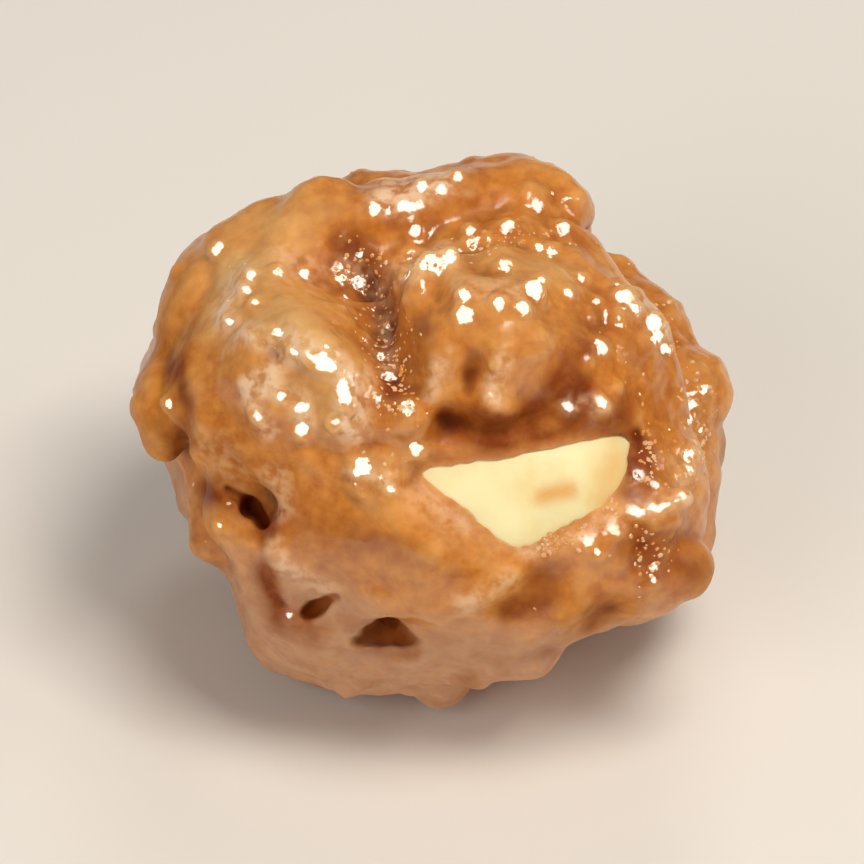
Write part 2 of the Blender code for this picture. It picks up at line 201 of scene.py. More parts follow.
# What opens the crust: the path, the half width, how far it goes in, and the number of pores it joins
PITS = {
    "pinhole": ([(-5.8, -2.3), (-5.5, -2.6), (-5.2, -3.0)], 0.24, 1.4, 9),
    "pinhole_end": ([(-6.5, -1.75), (-6.0, -2.1)], 0.14, 0.5, 5),
    "slot": ([(-4.0, -5.85), (-3.6, -5.6), (-3.0, -5.2)], 0.22, 1.0, 12),
    "slot_end": ([(-4.8, -5.0), (-4.7, -5.6)], 0.14, 0.4, 5),
    "slot_mouth": ([(-4.1, -5.5), (-3.8, -5.95)], 0.16, 0.5, 5),
    "wide_pit_foot": ([(-2.5, -6.65), (-1.4, -6.6), (-0.35, -6.65)], 0.15, 0.8, 28),
    "wide_pit": ([(-1.9, -6.4), (-0.9, -6.4)], 0.24, 1.0, 14),
    "wide_pit_roof": ([(-1.6, -6.0), (-1.4, -5.9), (-1.2, -6.0)], 0.17, 1.8, 12),
    "gap_upper": ([(6.4, 0.15), (6.5, -0.6)], 0.15, 0.5, 7),
    "gap_lower": ([(6.25, -1.4), (6.1, -1.8)], 0.15, 0.5, 5),
    "crack_upper": ([(6.4, -3.5), (7.2, -3.7)], 0.11, 0.3, 6),
    "crack_lower": ([(7.3, -4.4), (7.7, -4.2)], 0.1, 0.25, 4),
}

# How rough the pits' sides are, how the pores' widths and depths vary, and over how many half widths the
# painted shade in a pit fades out
PIT_ROUGHNESS = 0.16 * MM
PIT_ROUGH_SIZE = 0.5 * MM
PORE_WIDTHS = (0.7, 1.4)
PORE_DEPTHS = (0.6, 1.0)
PIT_FADE = (1.2, 2.2)

# Where small grains melted in: the path, the reach to either side, how many, their radii, and how grainy
# the skin is between them
GRAIN_PLACES = {
    "crevice": ([(-2.6, 5.7), (-1.7, 4.2), (-1.3, 2.2), (-0.9, 0.6)], 0.8, 60, (0.15, 0.34), 1.0),
    "top_crease": ([(-0.8, 5.2), (1.2, 5.8), (2.8, 6.1), (4.2, 6.2)], 0.5, 30, (0.16, 0.34), 0.6),
    "top_right": ([(3.4, 7.0), (4.6, 6.4)], 0.9, 8, (0.3, 0.5), 0.3),
    "right_ridge": ([(5.5, 6.0), (7.6, 3.3), (8.6, 1.2)], 0.7, 24, (0.2, 0.4), 0.4),
    "right_rim": ([(8.6, 1.4), (8.5, -0.6), (8.0, -1.6)], 0.8, 40, (0.16, 0.36), 0.7),
    "right_slope": ([(5.0, 3.4), (5.8, 2.2), (6.6, 0.8)], 0.7, 10, (0.18, 0.34), 0.3),
    "bare_right": ([(6.8, 0.2), (6.9, -1.6)], 0.5, 20, (0.15, 0.3), 0.6),
    "bare_below": ([(3.4, -3.8), (4.6, -3.2), (5.8, -2.3)], 0.35, 34, (0.12, 0.24), 0.7),
    "lower_right": ([(6.4, -3.4), (7.4, -4.2)], 0.8, 16, (0.15, 0.34), 0.8),
    "left_of_bare": ([(-2.4, -0.9), (-1.0, -1.5)], 0.6, 16, (0.18, 0.36), 0.2),
    "lobe_chain": ([(-6.0, 5.0), (-6.5, 3.6), (-5.3, 2.9), (-4.3, 2.6)], 0.3, 24, (0.16, 0.34), 0.15),
    "lobe_face": ([(-5.6, 1.0), (-4.6, 0.9), (-3.6, 0.2)], 0.7, 16, (0.18, 0.36), 0.0),
    "slot": ([(-4.7, -5.5), (-4.2, -5.3)], 0.4, 8, (0.12, 0.22), 0.2),
    "lower_rim": (
        [(-4.6, -7.6), (-1.2, -8.4), (1.6, -8.0), (3.4, -7.2), (5.0, -6.4)], 0.6, 34, (0.2, 0.45), 0.2,
    ),
}

# Grains scattered over the rest of the coat, with few on what faces the front, and how wide, high and deep
# grains are for their radius
SCATTERED_GRAINS = 170
SCATTERED_RADII = (0.2, 0.65)
GRAINS_ON_FRONT = 0.1
FRONT_FACING = 0.3
GRAIN_WIDTHS = (0.75, 1.3)
GRAIN_HEIGHT = 0.8
GRAIN_SUNK = 0.3
LOOSE_SUNK = 0.5
GRAIN_SEED = 7

# Sugar crystals that stayed whole: how many to a grain where the skin is fully grainy, and how many loose
# ones, which keep off the dry underside
CRYSTALS_PER_GRAIN = 3
LOOSE_CRYSTALS = 160
CRYSTALS_ON_FRONT = 0.2
CRYSTAL_RADII = (0.05, 0.14)
DRY_LIMIT = 0.2
CRYSTAL_SEED = 11

# Over how many reaches the graininess of a place fades out, where that of the front and that of the back
# begin, how grainy the back is, and how rough the dry underside
GRAIN_FADE = (0.7, 1.8)
GRAIN_FRONT = (0, 2)
GRAIN_BACK = (-4, 1)
BACK_GRAININESS = 0.55
DRY_ROUGHNESS = 0.4

# Painted light and shade, with some of the sugar's own tone: where the coat is painted lighter, and where it
# is painted darker when the amount is negative: path, reach and how much
PAINTED_LIGHT_AND_SHADE = {
    "lobe": ([(-5.8, 4.4), (-4.6, 3.4), (-3.2, 1.4)], 2.2, 0.9),
    "shoulder": ([(-6.4, 5.6), (-5.4, 6.4), (-3.8, 6.6)], 1.6, 0.8),
    "knob_face": ([(1.2, 3.6), (3.0, 3.4)], 1.6, 0.3),
    "knob_top": ([(0.6, 5.0), (2.8, 5.4), (4.2, 5.0)], 1.0, 0.6),
    "flutes": ([(0.1, 1.4), (2.1, 1.2)], 0.7, 0.6),
    "right_ridge": ([(5.8, 5.4), (7.4, 3.2)], 1.1, 0.4),
    "right_rim": ([(8.6, 1.6), (8.6, -0.4), (7.4, -2.2)], 0.9, 0.4),
    "left_of_bare": ([(-2.4, -1.2), (-0.6, -0.8)], 0.9, 0.6),
    "top_crest": ([(-0.6, 5.2), (0.6, 5.6)], 0.7, 0.5),
    "left_shoulder": ([(-7.2, 4.2), (-6.9, 3.2)], 0.9, 0.5),
    "top_crease": ([(-1.4, 6.6), (0.2, 6.7)], 0.6, -0.5),
    "crevice": ([(-2.9, 6.1), (-2.0, 5.3), (-1.8, 3.8), (-1.4, 2.6), (-1.0, 1.4)], 1.0, -1.1),
    "knob_side": ([(-0.3, 3.2), (-0.4, 2.4)], 0.8, -0.7),
    "knob_hollow": ([(1.4, 5.0), (2.0, 5.0)], 0.5, -0.5),
    "under_knob": ([(0.6, 0.3), (2.2, 0.0), (3.4, 0.3), (4.5, 1.2)], 0.95, -1.8),
    "knob_right": ([(3.2, 1.0), (3.8, 1.6), (4.6, 2.7)], 0.7, -1.0),
    "groove": ([(1.25, 2.4), (1.2, 1.2)], 0.45, -0.8),
    "cleft": ([(-8.1, 2.2), (-7.9, 0.6), (-8.0, -0.6)], 0.7, -0.9),
    "dimple": ([(-5.0, 2.4)], 0.45, -1.6),
    "plateau": ([(4.7, 3.4), (5.0, 2.8)], 0.9, -0.35),
    "gap": ([(6.1, 0.1), (6.4, -0.6)], 0.8, -1.2),
    "shelf_foot": ([(4.4, 0.1), (5.8, 0.3), (6.2, 0.9)], 0.7, -0.7),
    "lobe_foot": ([(-6.6, -0.2), (-5.4, -1.2)], 1.4, -0.15),
    "pinhole": ([(-6.9, -1.9), (-6.2, -2.2), (-5.2, -2.9)], 0.9, -1.2),
    "left_of_middle": ([(-4.2, -2.6), (-2.4, -3.4), (-0.8, -3.8)], 1.2, -0.5),
    "lower_band": ([(-2.4, -2.2), (0.2, -3.0), (1.8, -3.9)], 0.9, 0.3),
    "lower_bulge": ([(4.5, -5.0), (5.0, -4.5)], 0.6, 0.35),
    "lower_hollow": ([(2.7, -5.8), (3.4, -5.3), (3.7, -4.6)], 0.85, -1.0),
    "rim_end": ([(8.2, 3.0), (9.0, 2.2)], 0.7, -0.5),
    "foot_shade": ([(4.9, -6.1), (5.5, -5.5)], 0.6, -0.5),
    "crust_shade": ([(-5.3, -4.4), (-4.9, -5.8), (-3.6, -6.3)], 0.7, -0.6),
    "right_low": ([(6.6, -3.6), (8.2, -4.4)], 1.4, -0.9),
    "right_foot": ([(5.0, -5.9), (5.6, -5.3)], 0.8, -0.4),
    "lower_nub": ([(1.1, -7.9), (1.3, -8.4)], 0.6, -0.6),
    "slot_crease": ([(-5.1, -4.6), (-4.8, -5.6), (-4.0, -5.9)], 0.5, -0.6),
    "pit_lip": ([(-2.4, -6.9), (-0.5, -6.9)], 0.4, -0.5),
    "bare_right": ([(6.5, -0.2), (6.5, -1.8)], 0.9, -1.0),
}

# Milky sugar, and a pale sheen painted round the glints: path, reach and how much
MILKY_AND_SHEEN = {
    "top_roll": ([(-1.5, 7.4), (0.1, 7.8)], 0.9, 1.1),
    "lobe_fold": ([(-4.6, 3.0), (-3.0, 2.1), (-2.5, 1.0), (-2.8, 0.2)], 0.7, 0.6),
    "lobe_fold_end": ([(-2.4, 1.4), (-2.5, 0.3)], 1.0, 1.0),
    "lobe_face": ([(-5.5, 1.4), (-4.7, 2.1), (-4.3, 2.5)], 0.7, 0.9),
    "shoulder": ([(-4.8, 5.5), (-3.8, 5.0)], 0.9, 0.4),
    "band_top": ([(-0.6, -1.9), (0.9, -2.9)], 0.8, 0.35),
    "lobe_beads": ([(-5.2, 1.3), (-4.1, 1.0), (-4.0, 0.1)], 0.6, 0.8),
    "lobe_left": ([(-5.9, 1.4), (-5.3, 0.1)], 0.5, 0.7),
    "lobe_chain": ([(-6.0, 5.0), (-6.6, 3.7), (-5.1, 2.8)], 0.7, 0.8),
    "top_crest": ([(-1.0, 5.1), (0.4, 5.5)], 0.8, 0.7),
    "knob_crest": ([(1.0, 4.3), (3.2, 4.6)], 0.6, 0.35),
    "crevice": ([(-2.6, 5.4), (-1.7, 4.4), (-1.4, 2.2)], 0.6, 0.5),
    "right_ridge": ([(6.1, 4.4), (7.4, 3.0)], 0.7, 0.6),
    "right_rim": ([(8.6, 1.2), (8.2, -1.0)], 0.6, 0.25),
    "rim_roll": ([(6.5, -2.4), (8.0, -1.9)], 0.6, 0.7),
    "bare_below": ([(3.2, -3.9), (4.6, -3.3), (5.6, -2.6)], 0.6, 0.4),
    "left_of_bare": ([(-2.4, -1.2), (-1.4, -1.7)], 0.6, 0.5),
    "shelf": ([(4.2, 0.8), (5.4, 0.9)], 0.5, 0.45),
    "pinhole_rim": ([(-5.0, -1.4), (-4.7, -2.4)], 0.7, 0.5),
    "lobe_foot": ([(-7.3, -0.3), (-6.3, -1.1)], 0.9, 0.3),
    "flutes": ([(0.3, 2.2), (0.0, 1.1)], 0.45, 0.7),
    "flute_middle": ([(2.1, 2.4), (1.9, 1.0)], 0.5, 0.8),
    "step_edge": ([(-4.9, -3.4), (-4.6, -4.3), (-3.4, -5.0)], 0.5, 0.5),
    "lower_streak": ([(1.0, -5.4), (2.5, -4.7)], 0.6, 0.45),
}

# What the kernel shows in the bare spot, with its pale marks as painted light and its right edge's fleck as
# painted shade: path, reach and how much
KERNEL_MARKS = {
    "pale": {"lower_left": ([(0.9, -1.9), (2.2, -2.9)], 1.8, 0.9), "upper_right": ([(4.6, -1.0)], 1.0, 0.7)},
    "fleck": {
        "scrap_of_skin": ([(3.5, -1.95), (4.3, -1.85)], 0.5, 1.0),
        "painted_shade_right_edge": ([(5.9, -0.9), (5.5, -2.2)], 0.8, 0.5),
    },
}

# Where the glaze is satin: path, reach and how much
SATIN = {
    "lower_band": ([(-0.8, -2.2), (0.6, -3.4), (2.4, -4.4)], 1.5, 1.4),
    "under_knob": ([(0.4, 0.4), (2.2, 0.2), (4.0, 0.4)], 1.4, 2.0),
    "groove": ([(1.25, 2.2), (1.2, 1.2)], 0.6, 1.0),
    "pinhole": ([(-6.2, -2.0), (-5.2, -3.0)], 1.0, 1.4),
    "lobe_foot": ([(-7.0, -0.4), (-5.0, -1.6), (-3.2, -2.4)], 1.8, 1.2),
    "left_edge": ([(-7.9, 4.8), (-8.4, 1.8), (-8.6, -0.6), (-7.6, -3.0)], 1.7, 1.0),
    "shoulder": ([(-4.8, 6.5), (-3.6, 5.4)], 1.0, 0.9),
    "top_roll": ([(0.7, 7.0), (2.6, 7.8)], 1.0, 0.8),
    "plateau": ([(5.2, 2.2), (6.4, 1.2), (6.6, 0.0)], 1.2, 0.8),
    "shelf": ([(4.2, 1.5), (5.6, 1.4)], 0.8, 1.2),
    "right_of_bare": ([(6.3, 0.8), (6.6, -0.3), (6.6, -1.8)], 1.0, 0.9),
    "right_foot": ([(6.6, -3.6), (7.4, -3.8), (8.6, -4.6)], 1.4, 0.9),
    "lower_hollow": ([(2.4, -5.6), (3.4, -5.0), (4.6, -5.2)], 1.2, 1.0),
    "knob_face": ([(0.6, 2.9), (2.4, 3.2), (3.2, 3.1)], 0.7, 1.0),
    "foot_shade": ([(4.4, -6.4), (5.8, -5.5)], 1.1, 1.5),
    "crevice_top": ([(-2.6, 6.6), (-1.6, 6.2)], 0.8, 0.9),
    "knob_right": ([(3.8, 1.8), (4.6, 2.4)], 0.8, 1.0),
}

# The upper edge of the dull underside on the front, its height at the back, how it fades in across both, and
# where the front turns into the back
UNDERSIDE_EDGE = [
    (-10, -7.0), (-8, -6.0), (-6, -4.9), (-5, -3.6), (-4, -4.3), (-2, -5.3), (-1, -5.9), (0, -6.2),
    (1.2, -5.9), (3, -6.4), (5.0, -6.3), (5.8, -5.8), (7, -5.9), (10, -5.7),
]
UNDERSIDE_HEIGHT = 6.5
UNDERSIDE_FADE = (-0.6, 0.8)
FRONT_TURN = (-2, 2)

# How thin the coat runs out over the kernel at the rim of the bare spot, over what width, how high up the
# front the one width turns into the other, and how far in front of the sweet's middle the rim lies
RIM_EDGE = 0.06 * MM
RIM_WIDTH_TOP = 0.6
RIM_WIDTH_BELOW = 1.1
RIM_TURN = (-2.0, -0.8)
RIM_FRONT = 2

# How fine the coat's mesh is while it is shaped, how many triangles it keeps before the last cuts, and how
# far the kernel reaches into the coat round its room
VOXEL = 0.118 * MM
COAT_TRIANGLES = 165000
KERNEL_OVERLAP = 0.01 * MM

# How wide the swells, pebbles and crumbs are, the shade of the pebbles' pattern that stays in place, and what
# share of the pebbles' and the crumbs' height is left where the crust is smooth
KERNEL_SWELL_SIZE = 1.5 * MM
SWELL_SIZE = 1.8 * MM
PEBBLE_SIZE = 0.9 * MM
CRUMB_SIZE = 0.55 * MM
PEBBLE_MIDDLE = 0.3
SMOOTH_PEBBLES = 0.5
SMOOTH_CRUMBS = 0.4

# Rounds of evening out that tell crannies and crests from the skin round them, and creases from the form,
# rounds that soften the creases, and the depths, in millimetres, at which each of these begins and is whole
NEAR_ROUNDS = 12
FAR_ROUNDS = 120
CREASE_ROUNDS = 2
CRANNY_DEPTHS = (0.0, 0.06)
CREASE_DEPTHS = (0.02, 0.5)
PIT_DEPTHS = (0.0, 0.2)

# Over what thickness, in millimetres, the thin rim's paleness fades, and how much of the dull crust is
# hidden where the coat is painted dark, as shade and as darker sugar
THIN_DEPTH = 0.15
DARK_OVER_DULL = 0.7

# The patterns in cooked sugar, with the real size, the detail and the roughness of each. Real grit is finer,
# and is drawn this coarse so that it shows
SUGAR_PATTERNS = {
    "layers": (2.6 * MM, 5.0, 0.65),
    "flecks": (0.9 * MM, 4.0, 0.5),
    "specks": (0.4 * MM, 2.0, 0.5),
    "grit": (0.3 * MM, 3.0, 0.5),
}
FINE_PEBBLE_SIZE = 0.42 * MM

# The tints over the sugar's two ambers, each over the one before: what it follows, how strong it is, its
# colour, and the pattern that breaks it up
# Of these, bright is painted light with some of the sugar's own tone; cranny, dark, crease and pit are
# painted shade, the first two partly the darker sugar of the hollows; the tint of milky sugar is partly a
# painted sheen
SUGAR_TINTS = (
    ("bright", 0.75, "gold_and_painted_light", "uneven"),
    ("cranny", 0.45, "rust_and_shade", "uneven"),
    ("crest", 0.45, "gold_and_painted_light", "uneven"),
    ("underside", 0.95, "dull", "uneven"),
    ("underside", 0.45, "caramel", "patchy"),
    ("thin", 0.25, "frost_and_sheen", "uneven"),
    ("dark", 0.9, "rust_and_shade", "uneven"),
    ("milky_and_sheen", 0.9, "frost_and_sheen", "speckled"),
    ("crease", 0.9, "crease_shade", "uneven"),
    ("pit", 1.0, "rust_and_shade", "uneven"),
    ("pit", 0.5, "caramel", "crusted"),
)

# What the glaze is like where it is glossy, and where it is matt
GLAZE = {"Roughness": (0.35, 0.6), "Coat Weight": (0.55, 0.04), "Coat Roughness": (0.1, 0.5)}


def linear(hex_value, alpha=1.0):
    """An sRGB hex colour as linear red, green, blue and alpha."""
    parts = [int(hex_value[place:place + 2], 16) / 255 for place in (1, 3, 5)]
    return [part / 12.92 if part <= 0.04045 else ((part + 0.055) / 1.055) ** 2.4 for part in parts] + [alpha]


def colour_property(name, description, hex_value):
    return bpy.props.FloatVectorProperty(
        name=name, description=description, default=linear(hex_value), size=4, subtype="COLOR", min=0, max=1
    )


def size_property(name, description, default):
    return bpy.props.FloatProperty(
        name=name, description=description, default=default, unit="LENGTH", subtype="DISTANCE", precision=5
    )


class KernelSettings(bpy.types.PropertyGroup):
    """The roasted kernel."""

    fullness: size_property("Fullness", "How far it fills its room in the coat", 0.29 * MM)
    unevenness: size_property("Unevenness", "Height of its soft hollows and swells", 0.08 * MM)
    cream: colour_property("Cream", "The roasted flesh", "#F0E4AE")
    toast: colour_property("Toast", "Where the flesh browned in the roast", "#EBCF88")
    # This colour is painted light, where the flesh is lit most
    pale: colour_property("Pale flesh", "Where the flesh stayed palest", "#FFF3C0")
    # Skin also gives the painted shade at the bare spot's right edge
    skin: colour_property("Skin", "A scrap of skin that stayed on", "#E5AF62")


class CoatSettings(bpy.types.PropertyGroup):
    """The coat of cooked sugar."""

    swell: size_property("Swell", "Height of its soft swells", 0.26 * MM)
    pebble: size_property("Pebbles", "Height of the pebbled crust", 0.20 * MM)
    crumb: size_property("Crumb", "Height of the fine crumb", 0.10 * MM)
    # Gold also gives the painted light on the coat's lit sides
    gold_and_painted_light: colour_property("Gold", "Cooked sugar where it lies thin over a crest", "#E6B673")
    amber: colour_property("Amber", "Cooked sugar where it lies thin and bright", "#DC9242")
    caramel: colour_property("Caramel", "Cooked sugar where it lies thick", "#B86A24")
    # Rust is painted shade in the hollows, crannies and pits, with the deeper colour of thick sugar there
    rust_and_shade: colour_property("Rust", "Hollows, where light passes far through the sugar", "#7C300A")
    # This colour is painted shade in the deep creases and pits
    crease_shade: colour_property("Burnt", "The deep creases and pits", "#3A1205")
    # Its pale pinkish tint is partly painted light, bounced up from the floor
    dull: colour_property("Dull sugar", "Sugar that crystallised on the underside", "#CAA388")
    # This colour also gives the painted sheen round the glints
    frost_and_sheen: colour_property("Frost", "Milky sugar, on crests and where grains lie crowded", "#F1CFAA")


class StageSettings(bpy.types.PropertyGroup):
    """The floor, the lights and the camera."""

    floor: colour_property("Floor", "The pale floor", "#E9E6E1")
    distance: size_property("Camera distance", "From the camera to the sweet's middle", 0.45)
    width_seen: size_property("Width seen", "How wide a piece of the scene the camera takes in", 27.6 * MM)


def select_only(*pieces):
    """Selects these pieces and nothing else, the last of them active."""
    bpy.ops.object.select_all(action="DESELECT")
    for piece in pieces:
        piece.select_set(True)
        bpy.context.view_layer.objects.active = piece


def name_new(name):
    """Names the piece that was just made."""
    piece = bpy.context.object
    piece.name = name
    piece.data.name = name
    return piece


def ball(name, subdivisions, **placed):
    """A ball, with its size and its place in its mesh."""
    bpy.ops.mesh.primitive_ico_sphere_add(subdivisions=subdivisions, **placed)
    piece = name_new(name)
    bpy.ops.object.transform_apply(location=True, scale=True)
    return piece


def duplicate(piece, name):
    """A second piece with a mesh of its own."""
    copy = piece.copy()
    copy.data = piece.data.copy()
    copy.name = name
    bpy.context.scene.collection.objects.link(copy)
    return copy


def modify(piece, kind, **settings):
    """Gives a piece a modifier with these settings, and applies it."""
    select_only(piece)
    modifier = piece.modifiers.new(kind, kind)
    for setting, value in settings.items():
        setattr(modifier, setting, value)
    bpy.ops.object.modifier_apply(modifier=modifier.name)


def cut(piece, cutter):
    """Takes the cutter's form out of a piece, and removes the cutter."""
    modify(piece, "BOOLEAN", operation="DIFFERENCE", solver="MANIFOLD", object=cutter)
    bpy.data.objects.remove(cutter)


def pattern(name, kind, size, **settings):
    """A texture for a Displace modifier, with its pattern at a real size."""
    texture = bpy.data.textures.new(name, kind)
    texture.noise_scale = size
    for setting, value in settings.items():
        setattr(texture, setting, value)
    return texture


def finish(piece, material, node=None):
    """Gives a finished piece its material, and its place in the frame, where it stands for a solid."""
    piece.data.materials.clear()
    piece.data.materials.append(material)
    piece.data.polygons.foreach_set("material_index", [0] * len(piece.data.polygons))
    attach(piece, "root")
    if node:
        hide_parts(node)


def point_array(piece, field="co"):
    """A mesh's points, or their normals, as an array."""
    values = np.empty(len(piece.data.vertices) * 3)
    piece.data.vertices.foreach_get(field, values)
    return values.reshape(-1, 3)


def edge_array(piece):
    ends = np.empty(len(piece.data.edges) * 2, int)
    piece.data.edges.foreach_get("vertices", ends)
    return ends.reshape(-1, 2)


def set_points(piece, points):
    piece.data.vertices.foreach_set("co", points.ravel())
    piece.data.update()


def set_group(piece, name, weights):
    """A vertex group that holds one weight for each point."""
    group = piece.vertex_groups.new(name=name)
    for index, weight in enumerate(weights):
        if weight > 0:
            group.add((index,), weight, "REPLACE")
    return name


def set_attribute(piece, name, values):
    """A number for each point that the materials read."""
    attribute = piece.data.attributes.new(name, "FLOAT", "POINT")
    attribute.data.foreach_set("value", values.astype(np.float32))


def seen(points):
    """Where points are seen on the front, in millimetres: to the right, up and towards the viewer."""
    return (points - np.array(COAT_MIDDLE)) @ np.array(SIGHT_AXES) / MM


def smooth_step(low, high, values):
    """0 below low, 1 above high, and smooth between them."""
    share = np.clip((values - low) / (high - low), 0, 1)
    return share * share * (3 - 2 * share)


def distance_to_path(places, path):
    """How far each place lies from a path of one or more corners."""
    corners = np.array(path, float)
    nearest = np.linalg.norm(places - corners[0], axis=1)
    for start, end in zip(corners, corners[1:]):
        along = end - start
        share = np.clip((places - start) @ along / (along @ along), 0, 1)
        nearest = np.minimum(nearest, np.linalg.norm(places - start - share[:, None] * along, axis=1))
    return nearest


def stray(points):
    """How far, in millimetres, each point is off its true place when the forms are looked up."""
    return np.array([
        [noise.noise(Vector(point) / WANDER_SIZE + shift) for shift in WANDER_SHIFTS] for point in points
    ]) * WANDER / MM


def form_sum(points, forms):
    """The forms' heights, or shares, added up at each point: whole on a path, none at its reach."""
    places = seen(points) + stray(points)
    total = np.zeros(len(points))
    for path, reach, height in forms.values():
        total += height * (1 - smooth_step(0, reach, distance_to_path(places[:, :2], path)))
    uneven = np.array([1 + UNEVENNESS * noise.noise(Vector(point) / UNEVEN_SIZE) for point in points])
    return total * uneven * smooth_step(*FORM_FADE, places[:, 2])


def spread(values, ends, rounds):
    """Evens out one or more numbers for each point along the mesh's edges, once for each round."""
    values = values.reshape(len(values), -1)
    count = np.bincount(ends.ravel(), minlength=len(values))[:, None]
    for _ in range(rounds):
        total = np.empty_like(values)
        for column in range(values.shape[1]):
            given = np.concatenate((values[ends[:, 1], column], values[ends[:, 0], column]))
            total[:, column] = np.bincount(ends.T.ravel(), given, len(values))
        values = (values + total / np.maximum(count, 1)) / 2
    return values


def model_kernel(settings):
    """The kernel: an oval with its seam, a little uneven, that fills its room in the coat."""
    kernel = ball("roasted_kernel", 6, location=KERNEL_MIDDLE, scale=KERNEL_HALF_SIZES * KERNEL_OVERSIZE)
    modify(
        kernel, "SHRINKWRAP", target=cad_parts["kernel"], wrap_method="NEAREST_SURFACEPOINT",
        wrap_mode="OUTSIDE_SURFACE", offset=settings.fullness,
    )
    modify(kernel, "SMOOTH", factor=0.5, iterations=BASE_SOFTENING)
    swells = pattern("kernel_swells", "CLOUDS", KERNEL_SWELL_SIZE)
    modify(kernel, "DISPLACE", texture=swells, texture_coords="LOCAL", strength=settings.unevenness)
    for name, forms in KERNEL_MARKS.items():
        set_attribute(kernel, name, form_sum(point_array(kernel), forms))
    bpy.ops.object.shade_smooth()
    return kernel


def base_form():
    """The coat's plain form, wrapped over the solid's and closed over the bare spot."""
    cover = ball("bare_spot_cover", 4)
    cover.location = KERNEL_MIDDLE
    cover.scale = KERNEL_HALF_SIZES + Vector((1, 1, 1)) * COVER_MARGIN * MM
    bpy.ops.object.transform_apply(location=True, scale=True)
    coat = ball("sugar_coat", 7, radius=WRAP_RADIUS, location=COAT_MIDDLE)
    modify(
        coat, "SHRINKWRAP", target=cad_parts["candy_coat"], auxiliary_target=cover,
        wrap_method="PROJECT", use_negative_direction=True, use_positive_direction=False,
    )
    bpy.data.objects.remove(cover)
    modify(coat, "SMOOTH", factor=0.5, iterations=BASE_SOFTENING)
    return coat


def raise_soft_forms(coat):
    """Softens the knob's steep sides, then raises and sinks the soft forms of the front."""
    knob = set_group(coat, "knob_sides", np.clip(form_sum(point_array(coat), KNOB_SIDES), 0, 1))
    modify(coat, "SMOOTH", factor=0.5, iterations=KNOB_SOFTENING, vertex_group=knob)
    points = point_array(coat)
    rise = form_sum(points, SOFT_FORMS) * MM
    set_points(coat, points + point_array(coat, "normal") * rise[:, None])
    modify(coat, "SMOOTH", factor=0.5, iterations=FORM_SOFTENING)


def surface_place(coat, start, direction):
    """Where a straight look at the coat meets it, and which way the coat faces there."""
    found, place, normal, _ = coat.ray_cast(start, direction)
    if not found:
        raise RuntimeError("a form was placed beside the coat")
    return place, normal


def place_seen(right, up):
    """A point well in front of the sweet, in line with this place on its front."""
    return COAT_MIDDLE + SIGHT_AXES @ Vector((right * MM, up * MM, LOOK_FROM * MM))


def oval_shape(centre, facing, turn, half_sizes):
    """What makes an oval lump of a ball: its half sizes, its turn, the way that it faces and its place."""
    turned = Matrix.Rotation(turn, 4, "Z")
    return Matrix.Translation(centre) @ facing.to_4x4() @ turned @ Matrix.Diagonal((*half_sizes, 1))


def lump_shape(coat, place_on_front, half_sizes, turn, stand_out):
    """How an oval lump is placed on the front, so that it stands out this far."""
    place, _ = surface_place(coat, place_seen(*place_on_front), -TOWARDS)
    centre = place + TOWARDS * (stand_out - half_sizes[2]) * MM
    return oval_shape(centre, SIGHT_AXES, math.radians(turn), [half * MM for half in half_sizes])


def grain_shape(place, normal, radius, draw, sunk=GRAIN_SUNK):
    """A grain partly sunk in the coat, flattened and turned at random."""
    widths = [radius * MM * draw.uniform(*GRAIN_WIDTHS) for _ in range(2)]
    centre = place - normal * radius * MM * sunk
    facing = normal.to_track_quat("Z", "Y").to_matrix()
    return oval_shape(centre, facing, draw.uniform(0, math.tau), (*widths, radius * MM * GRAIN_HEIGHT))


def bead_shape(coat, right, up, half_length, half_width=None, turn=0):
    """A flat bead of glaze at this place on the front, turned so that it mirrors the light.

    It is rounder where the coat under it faces another way.
    """
    place, normal = surface_place(coat, place_seen(right, up), -TOWARDS)
    height = BEAD_HEIGHT + (BEAD_HEIGHT_TILTED - BEAD_HEIGHT) * (1 - normal.dot(BEAD_FACING))
    half_width = half_width or half_length
    half_sizes = (half_length * MM, half_width * MM, half_width * MM * height)
    facing = BEAD_FACING.to_track_quat("Z", "Y").to_matrix()
    centre = place - BEAD_FACING * half_width * MM * BEAD_SUNK
    return oval_shape(centre, facing, math.radians(turn), half_sizes)


def bead_depth(points):
    """How far inside a bead each point of the front lies, in millimetres: less than 0 is outside."""
    places = seen(points)
    depth = np.full(len(points), NO_BEAD)
    for right, up, half_length, *rest in BEADS:
        half_width, turn = rest or (half_length, 0)
        along = Matrix.Rotation(math.radians(turn), 2)
        offset = (places[:, :2] - (right, up)) @ np.array(along) / (half_length, half_width)
        depth = np.maximum(depth, (1 - np.linalg.norm(offset, axis=1)) * half_width)
    return np.where(places[:, 2] > 0, depth, NO_BEAD)


def place_on_path(path, draw, spread_width):
    """A place near a path, right and up, strayed to its sides at random."""
    # Ends just short of the last corner, where no stretch starts
    stretch = draw.uniform(0, len(path) - 1.0001)
    start, end = path[int(stretch)], path[int(stretch) + 1]
    share = stretch % 1
    return [a + (b - a) * share + draw.gauss(0, spread_width) for a, b in zip(start, end)]


def crowded_places(coat, draw, crystals=False):
    """Where grains, or crystals, lie at the named places.

    Each one gives its place, the way that the coat faces there, and the range of the grains' radii.
    """
    for path, reach, count, radii, rough in GRAIN_PLACES.values():
        for _ in range(round(count * rough * CRYSTALS_PER_GRAIN) if crystals else count):
            start = place_seen(*place_on_path(path, draw, reach / 2))
            found, place, normal, _ = coat.ray_cast(start, -TOWARDS)
            if found:
                yield place, normal, radii


